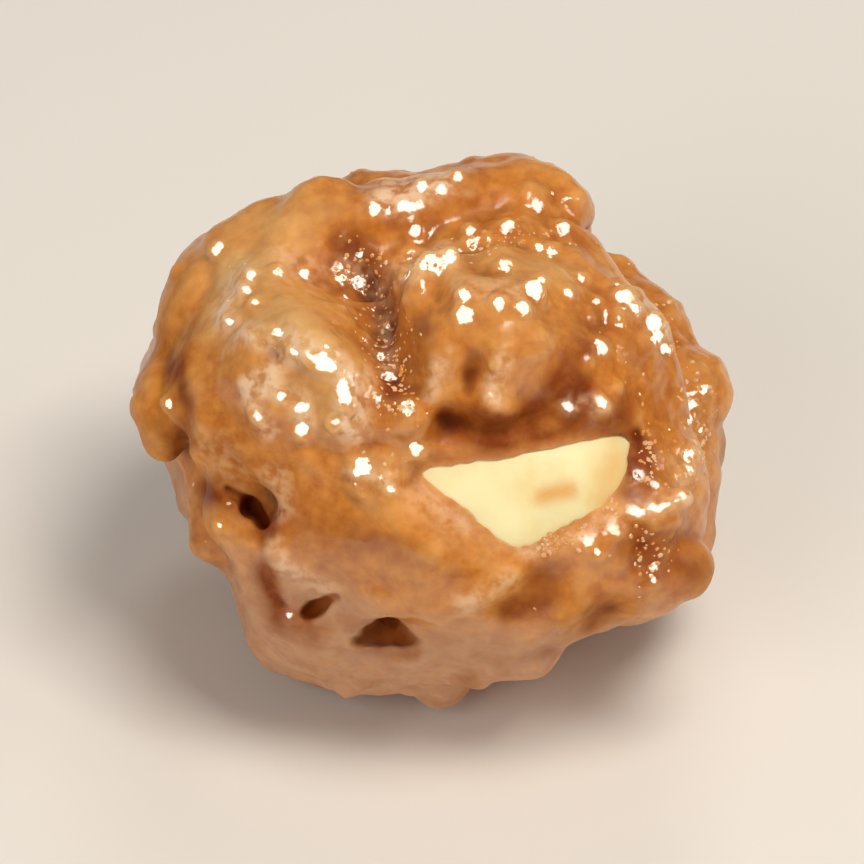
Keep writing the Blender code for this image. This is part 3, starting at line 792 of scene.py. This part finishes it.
def scattered_places(coat, draw, count, front_share):
    """Places spread over the whole coat, with only this share of those on the front kept."""
    for _ in range(count):
        direction = Vector([draw.gauss(0, 1) for _ in range(3)]).normalized()
        kept = draw.random()
        if direction.dot(TOWARDS) < FRONT_FACING or kept < front_share:
            yield surface_place(coat, COAT_MIDDLE + direction * LOOK_FROM * MM, -direction)


def grain_shapes(coat):
    """Where each grain lies: crowded at the named places of the front, and scattered over the rest."""
    draw = random.Random(GRAIN_SEED)
    shapes = [
        grain_shape(place, normal, draw.uniform(*radii), draw)
        for place, normal, radii in crowded_places(coat, draw)
    ]
    return shapes + [
        grain_shape(place, normal, draw.uniform(*SCATTERED_RADII), draw, LOOSE_SUNK)
        for place, normal in scattered_places(coat, draw, SCATTERED_GRAINS, GRAINS_ON_FRONT)
    ]


def copies(shape_of_one, shapes, name):
    """One mesh that holds a copy of a piece for each shape. The first piece is used up."""
    made = []
    for shape in shapes:
        copy = duplicate(shape_of_one, shape_of_one.name)
        copy.data.transform(shape)
        made.append(copy)
    bpy.data.objects.remove(shape_of_one)
    select_only(*made)
    bpy.ops.object.join()
    return name_new(name)


def melt_on(coat, shapes):
    """Sets a lump of each shape on the coat, and melts them all into one skin."""
    lumps = copies(ball("lump", 4), shapes, "lumps")
    select_only(lumps, coat)
    bpy.ops.object.join()
    modify(coat, "REMESH", mode="VOXEL", voxel_size=VOXEL)


def pit_shapes(coat):
    """Where the pores lie that join into each pit and crack."""
    draw = random.Random(GRAIN_SEED)
    for path, half_width, depth, count in PITS.values():
        for _ in range(count):
            place, _ = surface_place(coat, place_seen(*place_on_path(path, draw, half_width / 3)), -TOWARDS)
            widths = [half_width * draw.uniform(*PORE_WIDTHS) * MM for _ in range(2)]
            turn = draw.uniform(0, math.tau)
            yield oval_shape(place, SIGHT_AXES, turn, (*widths, depth * draw.uniform(*PORE_DEPTHS) * MM))


def open_pits(coat):
    """Takes the ragged pits and cracks out of the crust."""
    shapes = list(pit_shapes(coat))
    pits = copies(ball("pore", 3), shapes, "pits")
    modify(pits, "REMESH", mode="VOXEL", voxel_size=VOXEL)
    rough = pattern("pit_rough", "CLOUDS", PIT_ROUGH_SIZE)
    modify(pits, "DISPLACE", texture=rough, texture_coords="LOCAL", strength=PIT_ROUGHNESS)
    cut(coat, pits)
    modify(coat, "REMESH", mode="VOXEL", voxel_size=VOXEL)


def smooth_loop(corners, steps):
    """A closed curve through the corners, in a few steps to each stretch."""
    count = len(corners)
    loop = []
    for index in range(count):
        before, start, end, after = (Vector(corners[(index + step) % count]) for step in (-1, 0, 1, 2))
        for step in range(steps):
            share = step / steps
            straight = start * 2 + (end - before) * share
            bend = (before * 2 - start * 5 + end * 4 - after) * share ** 2
            turn = (start * 3 - before - end * 3 + after) * share ** 3
            loop.append((straight + bend + turn) / 2)
    return loop


def bare_spot_cutter():
    """A bar along the line of sight with the bare spot's uneven outline."""
    loop = smooth_loop(BARE_OUTLINE, BARE_CURVE_STEPS)
    bpy.ops.mesh.primitive_circle_add(vertices=len(loop), radius=1, fill_type="NGON")
    bar = name_new("bare_spot_bar")
    draw = random.Random(GRAIN_SEED)
    for vertex, (right, up) in zip(bar.data.vertices, loop):
        ragged = [place + draw.uniform(-RAGGEDNESS, RAGGEDNESS) for place in (right, up)]
        vertex.co = COAT_MIDDLE + SIGHT_AXES @ (Vector((*ragged, BARE_CUT_START)) * MM)
    select_only(bar)
    bpy.ops.object.mode_set(mode="EDIT")
    bpy.ops.mesh.select_all(action="SELECT")
    bpy.ops.mesh.extrude_region_move(TRANSFORM_OT_translate={"value": TOWARDS * BARE_CUT_LENGTH * MM})
    bpy.ops.mesh.select_all(action="SELECT")
    bpy.ops.mesh.normals_make_consistent(inside=False)
    bpy.ops.object.mode_set(mode="OBJECT")
    return bar


def rim_share(points):
    """1 over the bare spot, falling to 0 where the coat has its full thickness beside it."""
    places = seen(points)
    loop = [tuple(corner) for corner in smooth_loop(BARE_OUTLINE, 2)]
    loop.append(loop[0])
    inside = np.zeros(len(points), bool)
    for (start_right, start_up), (end_right, end_up) in zip(loop, loop[1:]):
        crossed = (start_up > places[:, 1]) != (end_up > places[:, 1])
        slope = (end_right - start_right) / (end_up - start_up or 1e-9)
        inside ^= crossed & (places[:, 0] < start_right + (places[:, 1] - start_up) * slope)
    width = RIM_WIDTH_BELOW + (RIM_WIDTH_TOP - RIM_WIDTH_BELOW) * smooth_step(*RIM_TURN, places[:, 1])
    outside = smooth_step(0, 1, distance_to_path(places[:, :2], loop) / width)
    return np.where(inside, 1, 1 - outside) * (places[:, 2] > RIM_FRONT)


def thin_rim(coat, kernel):
    """Lets the coat run out thinly over the kernel round the bare spot."""
    group = set_group(coat, "near_bare_spot", rim_share(point_array(coat)))
    modify(
        coat, "SHRINKWRAP", target=kernel, wrap_method="NEAREST_SURFACEPOINT", wrap_mode="ABOVE_SURFACE",
        offset=RIM_EDGE, vertex_group=group,
    )


def underside_share(points):
    """How far each point lies in the dull, crystallised sugar of the underside: 0 above, 1 below."""
    right, up, towards = (seen(points) + stray(points)).T
    below_front = np.interp(right, *zip(*UNDERSIDE_EDGE)) - up
    below_back = UNDERSIDE_HEIGHT - points[:, 2] / MM
    front = smooth_step(*FRONT_TURN, towards)
    return smooth_step(*UNDERSIDE_FADE, below_front * front + below_back * (1 - front))


def pit_share(points):
    """1 in the pits and cracks, 0 outside them."""
    places = seen(points)
    share = np.zeros(len(points))
    for path, half_width, _, _ in PITS.values():
        inner, outer = (half_width * widths for widths in PIT_FADE)
        share = np.maximum(share, 1 - smooth_step(inner, outer, distance_to_path(places[:, :2], path)))
    return share * (places[:, 2] > 0)


def grainy_share(points):
    """How grainy the coat is at each point: most in the crevice and along the right ridge."""
    places = seen(points)
    share = np.zeros(len(points))
    for path, reach, _, _, rough in GRAIN_PLACES.values():
        inner, outer = (reach * reaches for reaches in GRAIN_FADE)
        near = 1 - smooth_step(inner, outer, distance_to_path(places[:, :2], path))
        share = np.maximum(share, rough * near * smooth_step(*GRAIN_FRONT, places[:, 2]))
    behind = 1 - smooth_step(*GRAIN_BACK, places[:, 2])
    return np.maximum(share, behind * BACK_GRAININESS)


def rough_share(points):
    """How rough the crust is at each point: where it is grainy, and on the dry underside."""
    return np.maximum(grainy_share(points), DRY_ROUGHNESS * underside_share(points))


def roughen(coat, settings):
    """Gives the coat its soft swells and its pebbled crust."""
    swells = pattern("coat_swells", "CLOUDS", SWELL_SIZE, noise_depth=1)
    modify(coat, "DISPLACE", texture=swells, texture_coords="LOCAL", strength=settings.swell)
    depth = SMOOTH_PEBBLES + (1 - SMOOTH_PEBBLES) * rough_share(point_array(coat))
    group = set_group(coat, "crust_depth", depth)
    pebbles = pattern("coat_pebbles", "VORONOI", PEBBLE_SIZE, distance_metric="DISTANCE_SQUARED")
    modify(
        coat, "DISPLACE", texture=pebbles, texture_coords="LOCAL", strength=-settings.pebble,
        mid_level=PEBBLE_MIDDLE, vertex_group=group,
    )


def crumble(coat, settings):
    """Evens out the melted skin, and gives its grainy places a fine crumb."""
    modify(coat, "SMOOTH", factor=0.5, iterations=CRUST_SOFTENING)
    depth = SMOOTH_CRUMBS + (1 - SMOOTH_CRUMBS) * rough_share(point_array(coat))
    group = set_group(coat, "crumb_depth", depth)
    crumbs = pattern("coat_crumbs", "CLOUDS", CRUMB_SIZE, noise_depth=1)
    modify(
        coat, "DISPLACE", texture=crumbs, texture_coords="LOCAL", strength=settings.crumb, vertex_group=group
    )
    modify(coat, "SMOOTH", factor=0.4, iterations=1)


def model_coat(settings, kernel):
    """The coat: the wrapped form with its lumps melted in, opened at the bare spot and over the kernel."""
    coat = base_form()
    raise_soft_forms(coat)
    melt_on(coat, [lump_shape(coat, *lump) for lump in FRONT_LUMPS.values()])
    modify(coat, "SMOOTH", factor=0.5, iterations=LUMP_SOFTENING)
    roughen(coat, settings)
    melt_on(coat, grain_shapes(coat) + [bead_shape(coat, *bead) for bead in BEADS])
    open_pits(coat)
    crumble(coat, settings)
    thin_rim(coat, kernel)
    points = point_array(coat)
    points[:, 2] = np.maximum(points[:, 2], 0)
    set_points(coat, points)
    # The remesh left four-sided faces, which make two triangles each
    modify(coat, "DECIMATE", ratio=min(1, COAT_TRIANGLES / 2 / len(coat.data.polygons)))
    cut(coat, bare_spot_cutter())
    room = duplicate(kernel, "kernel_room")
    room.data.materials.clear()
    modify(room, "DISPLACE", strength=-KERNEL_OVERLAP, mid_level=0)
    cut(coat, room)
    paint(coat, kernel)
    bpy.ops.object.shade_smooth()
    return coat


def paint(coat, kernel):
    """Works out what the material reads at each point: its form, its tone with its painted light and shade,
    its gloss and its thin rim.
    """
    points = point_array(coat)
    normals = point_array(coat, "normal")
    ends = edge_array(coat)
    near = ((spread(points, ends, NEAR_ROUNDS) - points) * normals).sum(1) / MM
    far = ((spread(points, ends, FAR_ROUNDS) - points) * normals).sum(1) / MM
    sunk = spread(far, ends, CREASE_ROUNDS)[:, 0]
    rim = rim_share(points)
    thickness = np.ones(len(points))
    for index in np.flatnonzero(rim > 0):
        _, place, _, _ = kernel.closest_point_on_mesh(Vector(points[index]))
        thickness[index] = (place - Vector(points[index])).length / MM
    # The painted light and shade: lighter above 0, darker below it
    tone = form_sum(points, PAINTED_LIGHT_AND_SHADE)
    dark = np.clip(-tone, 0, 1)
    underside = underside_share(points)
    satin = np.clip(form_sum(points, SATIN), 0, 1)
    shares = {
        "thin": np.exp(-thickness / THIN_DEPTH),
        # Painted shade in the creases and crannies, partly the darker sugar that pools there
        "crease": smooth_step(*CREASE_DEPTHS, sunk),
        "cranny": smooth_step(*CRANNY_DEPTHS, near),
        "crest": smooth_step(*CRANNY_DEPTHS, -near),
        "underside": underside * (1 - DARK_OVER_DULL * dark),
        "matt": np.maximum.reduce([underside, rim, satin]),
        # Painted shade in the pits and cracks
        "pit": pit_share(points) * smooth_step(*PIT_DEPTHS, sunk),
        "grainy": grainy_share(points),
        "bright": np.clip(tone, 0, 1),
        "dark": dark,
        "milky_and_sheen": np.clip(form_sum(points, MILKY_AND_SHEEN), 0, 1),
        "bead": bead_depth(points),
    }
    for name, values in shares.items():
        set_attribute(coat, name, values)


def model_crystals(coat):
    """Small sugar crystals that stayed whole on the glossy sugar, crowded in its creases."""
    draw = random.Random(CRYSTAL_SEED)
    places = [found[:2] for found in crowded_places(coat, draw, crystals=True)]
    places += scattered_places(coat, draw, LOOSE_CRYSTALS, CRYSTALS_ON_FRONT)
    dull = underside_share(np.array([place for place, _ in places]))
    shapes = [
        grain_shape(place, normal, draw.uniform(*CRYSTAL_RADII), draw, LOOSE_SUNK)
        for (place, normal), share in zip(places, dull) if share < DRY_LIMIT
    ]
    return copies(ball("crystal", 1), shapes, "sugar_crystals")


def add_node(tree, kind, inputs=(), output=0, **settings):
    """Adds a node with its settings, and gives one of its outputs.

    Each input gets a number, a colour or another node's output.
    """
    node = tree.nodes.new(kind)
    for setting, value in settings.items():
        setattr(node, setting, value)
    for socket, value in dict(inputs).items():
        if isinstance(value, bpy.types.NodeSocket):
            tree.links.new(value, node.inputs[socket])
        else:
            node.inputs[socket].default_value = value
    return node.outputs[output]


def new_material(name, inputs):
    """A material with its node tree and its shader, which gets these numbers and colours."""
    material = bpy.data.materials.new(name)
    material.use_nodes = True
    shader = material.node_tree.nodes["Principled BSDF"]
    for socket, value in inputs.items():
        shader.inputs[socket].default_value = value
    return material, material.node_tree, shader


def sugar_colour(tree, settings, layers, flecks, specks, crusted):
    """The sugar's colour: two ambers in layers and specks, with the tints of its form and its crust, among
    them painted light, shade and sheen.
    """
    share = add_node(tree, "ShaderNodeMath", {0: specks, 1: 0.6, 2: layers}, operation="MULTIPLY_ADD")
    share = add_node(tree, "ShaderNodeMapRange", {0: share, 1: 0.62, 2: 0.98})
    colour = add_node(
        tree, "ShaderNodeMix", {0: share, 6: settings.caramel, 7: settings.amber}, 2, data_type="RGBA"
    )
    patterns = {
        "uneven": add_node(tree, "ShaderNodeMapRange", {0: flecks, 1: 0.35, 2: 0.6, 3: 0.6, 4: 1.0}),
        "patchy": add_node(tree, "ShaderNodeMapRange", {0: flecks, 1: 0.45, 2: 0.62}),
        "speckled": add_node(tree, "ShaderNodeMapRange", {0: specks, 1: 0.38, 2: 0.58, 3: 0.15, 4: 1.0}),
        "crusted": crusted,
    }
    for name, strength, tint, broken_by in SUGAR_TINTS:
        share = add_node(tree, "ShaderNodeAttribute", output="Fac", attribute_name=name)
        for part in (strength, patterns[broken_by]):
            share = add_node(tree, "ShaderNodeMath", {0: share, 1: part}, operation="MULTIPLY")
        colour = add_node(
            tree, "ShaderNodeMix", {0: share, 6: colour, 7: getattr(settings, tint)}, 2, data_type="RGBA"
        )
    return colour


def bead_face(tree, bead, specks):
    """How far inside a bead's face a point lies: 1 on the face, and 0 beyond its ragged edge."""
    ragged = add_node(tree, "ShaderNodeMapRange", {0: specks, 1: 0.3, 2: 0.7, 3: -0.14, 4: 0.06})
    depth = add_node(tree, "ShaderNodeMath", {0: bead, 1: ragged})
    return add_node(tree, "ShaderNodeMapRange", {0: depth, 2: 0.26}, interpolation_type="SMOOTHSTEP")


def glaze_facing(tree, normal, face):
    """The way that the glaze faces: as the sugar under it does, but on a bead's face the way of all beads.

    So the whole face mirrors the key light at once, as the flat top of a real bead does.
    """
    facing = add_node(
        tree, "ShaderNodeVectorTransform", {0: BEAD_FACING}, vector_type="NORMAL", convert_from="OBJECT",
        convert_to="WORLD",
    )
    unbent = add_node(tree, "ShaderNodeNewGeometry", output="Normal")
    bend = add_node(tree, "ShaderNodeVectorMath", {0: facing, 1: unbent}, operation="SUBTRACT")
    bend = add_node(tree, "ShaderNodeVectorMath", {0: bend, "Scale": face}, operation="SCALE")
    bent = add_node(tree, "ShaderNodeVectorMath", {0: normal, 1: bend})
    return add_node(tree, "ShaderNodeVectorMath", {0: bent}, operation="NORMALIZE")


def cooked_sugar(settings):
    """Cooked sugar, panned on in layers: clear amber, darker where deep and in painted shade, lighter in
    painted light, and dull with crystals below.
    """
    material, tree, shader = new_material("cooked_sugar_panned", {
        "Specular IOR Level": 0.05, "IOR": 1.5, "Coat IOR": 2.1, "Subsurface Weight": 0.25,
        "Subsurface Radius": (1.0, 0.35, 0.12), "Subsurface Scale": 0.35 * MM,
    })
    place = add_node(tree, "ShaderNodeTexCoord", output="Object")
    layers, flecks, specks, grit = (
        add_node(
            tree, "ShaderNodeTexNoise",
            {"Vector": place, "Scale": 1 / size, "Detail": detail, "Roughness": roughness},
        )
        for size, detail, roughness in SUGAR_PATTERNS.values()
    )
    crusted, bead, matt, grainy = (
        add_node(tree, "ShaderNodeAttribute", output="Fac", attribute_name=name)
        for name in ("underside", "bead", "matt", "grainy")
    )
    colour = sugar_colour(tree, settings, layers, flecks, specks, crusted)
    tree.links.new(colour, shader.inputs["Base Color"])
    face = bead_face(tree, bead, specks)
    off_face = add_node(tree, "ShaderNodeMath", {0: 1.0, 1: face}, operation="SUBTRACT")
    matt = add_node(tree, "ShaderNodeMath", {0: matt, 1: off_face}, operation="MULTIPLY")
    for socket, (glossy, dull) in GLAZE.items():
        value = add_node(tree, "ShaderNodeMapRange", {0: matt, 3: glossy, 4: dull})
        tree.links.new(value, shader.inputs[socket])
    pebbles = add_node(
        tree, "ShaderNodeTexVoronoi", {"Vector": place, "Scale": 1 / FINE_PEBBLE_SIZE, "Smoothness": 0.5},
        feature="SMOOTH_F1",
    )
    strength = add_node(tree, "ShaderNodeMapRange", {0: grainy, 3: 0.3, 4: 0.8})
    normal = add_node(
        tree, "ShaderNodeBump", {"Strength": strength, "Distance": 0.06 * MM, "Height": pebbles}, invert=True
    )
    strength = add_node(tree, "ShaderNodeMapRange", {0: crusted, 3: 0.45, 4: 1.0})
    normal = add_node(
        tree, "ShaderNodeBump",
        {"Strength": strength, "Distance": 0.05 * MM, "Height": grit, "Normal": normal},
    )
    tree.links.new(normal, shader.inputs["Normal"])
    tree.links.new(glaze_facing(tree, normal, face), shader.inputs["Coat Normal"])
    return material


def sugar_crystal(settings):
    """Boiled sugar that set as small clear crystals: pale amber, with hard glassy faces that glint."""
    material, tree, shader = new_material("sugar_crystal_boiled", {"Roughness": 0.1, "IOR": 1.54})
    place = add_node(tree, "ShaderNodeTexCoord", output="Object")
    depth = add_node(tree, "ShaderNodeTexNoise", {"Vector": place, "Scale": 1 / (0.5 * MM)})
    share = add_node(tree, "ShaderNodeMapRange", {0: depth, 1: 0.4, 2: 0.7})
    colour = add_node(
        tree, "ShaderNodeMix", {0: share, 6: settings.amber, 7: settings.frost_and_sheen}, 2, data_type="RGBA"
    )
    tree.links.new(colour, shader.inputs["Base Color"])
    return material


def roasted_flesh(settings):
    """Roasted peanut flesh, its skin off: dense cream, faintly mottled, with a satin, oily face."""
    material, tree, shader = new_material("peanut_flesh_roasted", {
        "Roughness": 0.45, "Subsurface Weight": 0.3, "Subsurface Radius": (1.0, 0.7, 0.35),
        "Subsurface Scale": 0.6 * MM,
    })
    place = add_node(tree, "ShaderNodeTexCoord", output="Object")
    mottle = add_node(tree, "ShaderNodeTexNoise", {"Vector": place, "Scale": 1 / (1.3 * MM), "Detail": 3.0})
    share = add_node(tree, "ShaderNodeMapRange", {0: mottle, 1: 0.45, 2: 0.75})
    colour = add_node(
        tree, "ShaderNodeMix", {0: share, 6: settings.cream, 7: settings.toast}, 2, data_type="RGBA"
    )
    # The pale marks are painted light; the flecks are a scrap of skin and painted shade at the right edge
    for name, tint in (("pale", settings.pale), ("fleck", settings.skin)):
        share = add_node(tree, "ShaderNodeAttribute", output="Fac", attribute_name=name)
        colour = add_node(tree, "ShaderNodeMix", {0: share, 6: colour, 7: tint}, 2, data_type="RGBA")
    tree.links.new(colour, shader.inputs["Base Color"])
    fibre = add_node(tree, "ShaderNodeTexNoise", {"Vector": place, "Scale": 1 / (0.3 * MM), "Detail": 3.0})
    normal = add_node(tree, "ShaderNodeBump", {"Strength": 0.4, "Distance": 0.04 * MM, "Height": fibre})
    tree.links.new(normal, shader.inputs["Normal"])
    return material


def matt_paper(colour):
    """Matt white paper: it takes soft shadows and gives no glare."""
    material, _, _ = new_material("paper_matt", {"Base Color": colour, "Roughness": 0.9})
    return material


class SWEET_OT_kernel(bpy.types.Operator):
    """Models the roasted kernel."""

    bl_idname = "sweet.kernel"
    bl_label = "Roasted kernel"

    def execute(self, context):
        settings = context.scene.sweet_kernel
        kernel = model_kernel(settings)
        finish(kernel, roasted_flesh(settings), "kernel")
        return {"FINISHED"}


class SWEET_OT_coat(bpy.types.Operator):
    """Models the coat of cooked sugar over the kernel."""

    bl_idname = "sweet.coat"
    bl_label = "Candy coat"

    def execute(self, context):
        settings = context.scene.sweet_coat
        coat = model_coat(settings, bpy.data.objects["roasted_kernel"])
        finish(coat, cooked_sugar(settings), "candy_coat")
        return {"FINISHED"}


class SWEET_OT_crystals(bpy.types.Operator):
    """Scatters small sugar crystals on the coat."""

    bl_idname = "sweet.crystals"
    bl_label = "Sugar crystals"

    def execute(self, context):
        crystals = model_crystals(bpy.data.objects["sugar_coat"])
        finish(crystals, sugar_crystal(context.scene.sweet_coat))
        return {"FINISHED"}


# Soft lights: the direction that each stands in, its distance and size in metres, its watts and colour,
# and whether the glaze mirrors it
LIGHTS = {
    "key": ((0.3, -0.3, 1.0), 0.26, 0.10, 0.46, "#FFF6EA", True),
    "right": ((1.0, -0.2, 0.6), 0.30, 0.07, 0.08, "#FFF6EA", True),
    "back": ((0.1, 0.8, 1.0), 0.30, 0.10, 0.12, "#FFF8F0", False),
    "fill": ((-0.7, -1.0, 0.8), 0.40, 0.22, 0.50, "#FFF8F0", False),
}
ROOM_LIGHT = 0.2
ROOM_COLOUR = "#E6E4E0"
FLOOR_SIZE = 1.6
CLIP_START, CLIP_END = 0.01, 5


def add_light(name, direction, distance, size, watts, colour, mirrored):
    """A square soft light that faces the sweet from a direction."""
    place = COAT_MIDDLE + Vector(direction).normalized() * distance
    bpy.ops.object.light_add(type="AREA", location=place)
    lamp = bpy.context.object
    lamp.name = name
    lamp.rotation_euler = (place - COAT_MIDDLE).to_track_quat("Z", "Y").to_euler()
    lamp.visible_glossy = mirrored
    lamp.data.shape = "SQUARE"
    lamp.data.size = size
    lamp.data.energy = watts
    lamp.data.color = linear(colour)[:3]


class SWEET_OT_stage(bpy.types.Operator):
    """Sets up the pale floor, the soft lights and the camera."""

    bl_idname = "sweet.stage"
    bl_label = "Stage"

    def execute(self, context):
        settings = context.scene.sweet_stage
        scene = context.scene
        bpy.ops.object.select_all(action="DESELECT")
        bpy.ops.mesh.primitive_plane_add(size=FLOOR_SIZE)
        floor = name_new("floor")
        floor.data.materials.append(matt_paper(settings.floor))
        for name, light in LIGHTS.items():
            add_light(name, *light)
        world = bpy.data.worlds.new("pale_room")
        scene.world = world
        world.use_nodes = True
        background = world.node_tree.nodes["Background"]
        background.inputs["Color"].default_value = linear(ROOM_COLOUR)
        background.inputs["Strength"].default_value = ROOM_LIGHT
        bpy.ops.object.camera_add(location=COAT_MIDDLE + TOWARDS * settings.distance)
        camera = bpy.context.object
        camera.name = "camera"
        camera.rotation_euler = SIGHT_AXES.to_euler()
        camera.data.lens = camera.data.sensor_width * settings.distance / settings.width_seen
        camera.data.clip_start = CLIP_START
        camera.data.clip_end = CLIP_END
        scene.camera = camera
        scene.view_settings.view_transform = "Standard"
        return {"FINISHED"}


class SWEET_PT_panel(bpy.types.Panel):
    """The sweet's pieces and its stage, in the order that they are made in."""

    bl_idname = "SWEET_PT_panel"
    bl_label = "Candy-coated peanut"
    bl_space_type = "VIEW_3D"
    bl_region_type = "UI"
    bl_category = "Sweet"

    def draw(self, context):
        layout = self.layout
        for group, operators in PANEL_ROWS.items():
            settings = getattr(context.scene, group)
            for name in settings.__annotations__:
                layout.prop(settings, name)
            for operator in operators:
                layout.operator(operator)


PANEL_ROWS = {
    "sweet_kernel": ("sweet.kernel",),
    "sweet_coat": ("sweet.coat", "sweet.crystals"),
    "sweet_stage": ("sweet.stage",),
}
SETTINGS = {"sweet_kernel": KernelSettings, "sweet_coat": CoatSettings, "sweet_stage": StageSettings}
CLASSES = (
    *SETTINGS.values(), SWEET_OT_kernel, SWEET_OT_coat, SWEET_OT_crystals, SWEET_OT_stage, SWEET_PT_panel,
)


def register():
    for made in CLASSES:
        bpy.utils.register_class(made)
    for name, made in SETTINGS.items():
        setattr(bpy.types.Scene, name, bpy.props.PointerProperty(type=made))


def unregister():
    for name in SETTINGS:
        delattr(bpy.types.Scene, name)
    for made in reversed(CLASSES):
        bpy.utils.unregister_class(made)


def main():
    register()
    bpy.ops.object.select_all(action="DESELECT")
    bpy.ops.sweet.kernel()
    bpy.ops.sweet.coat()
    bpy.ops.sweet.crystals()
    bpy.ops.sweet.stage()


if __name__ == "__main__":
    main()
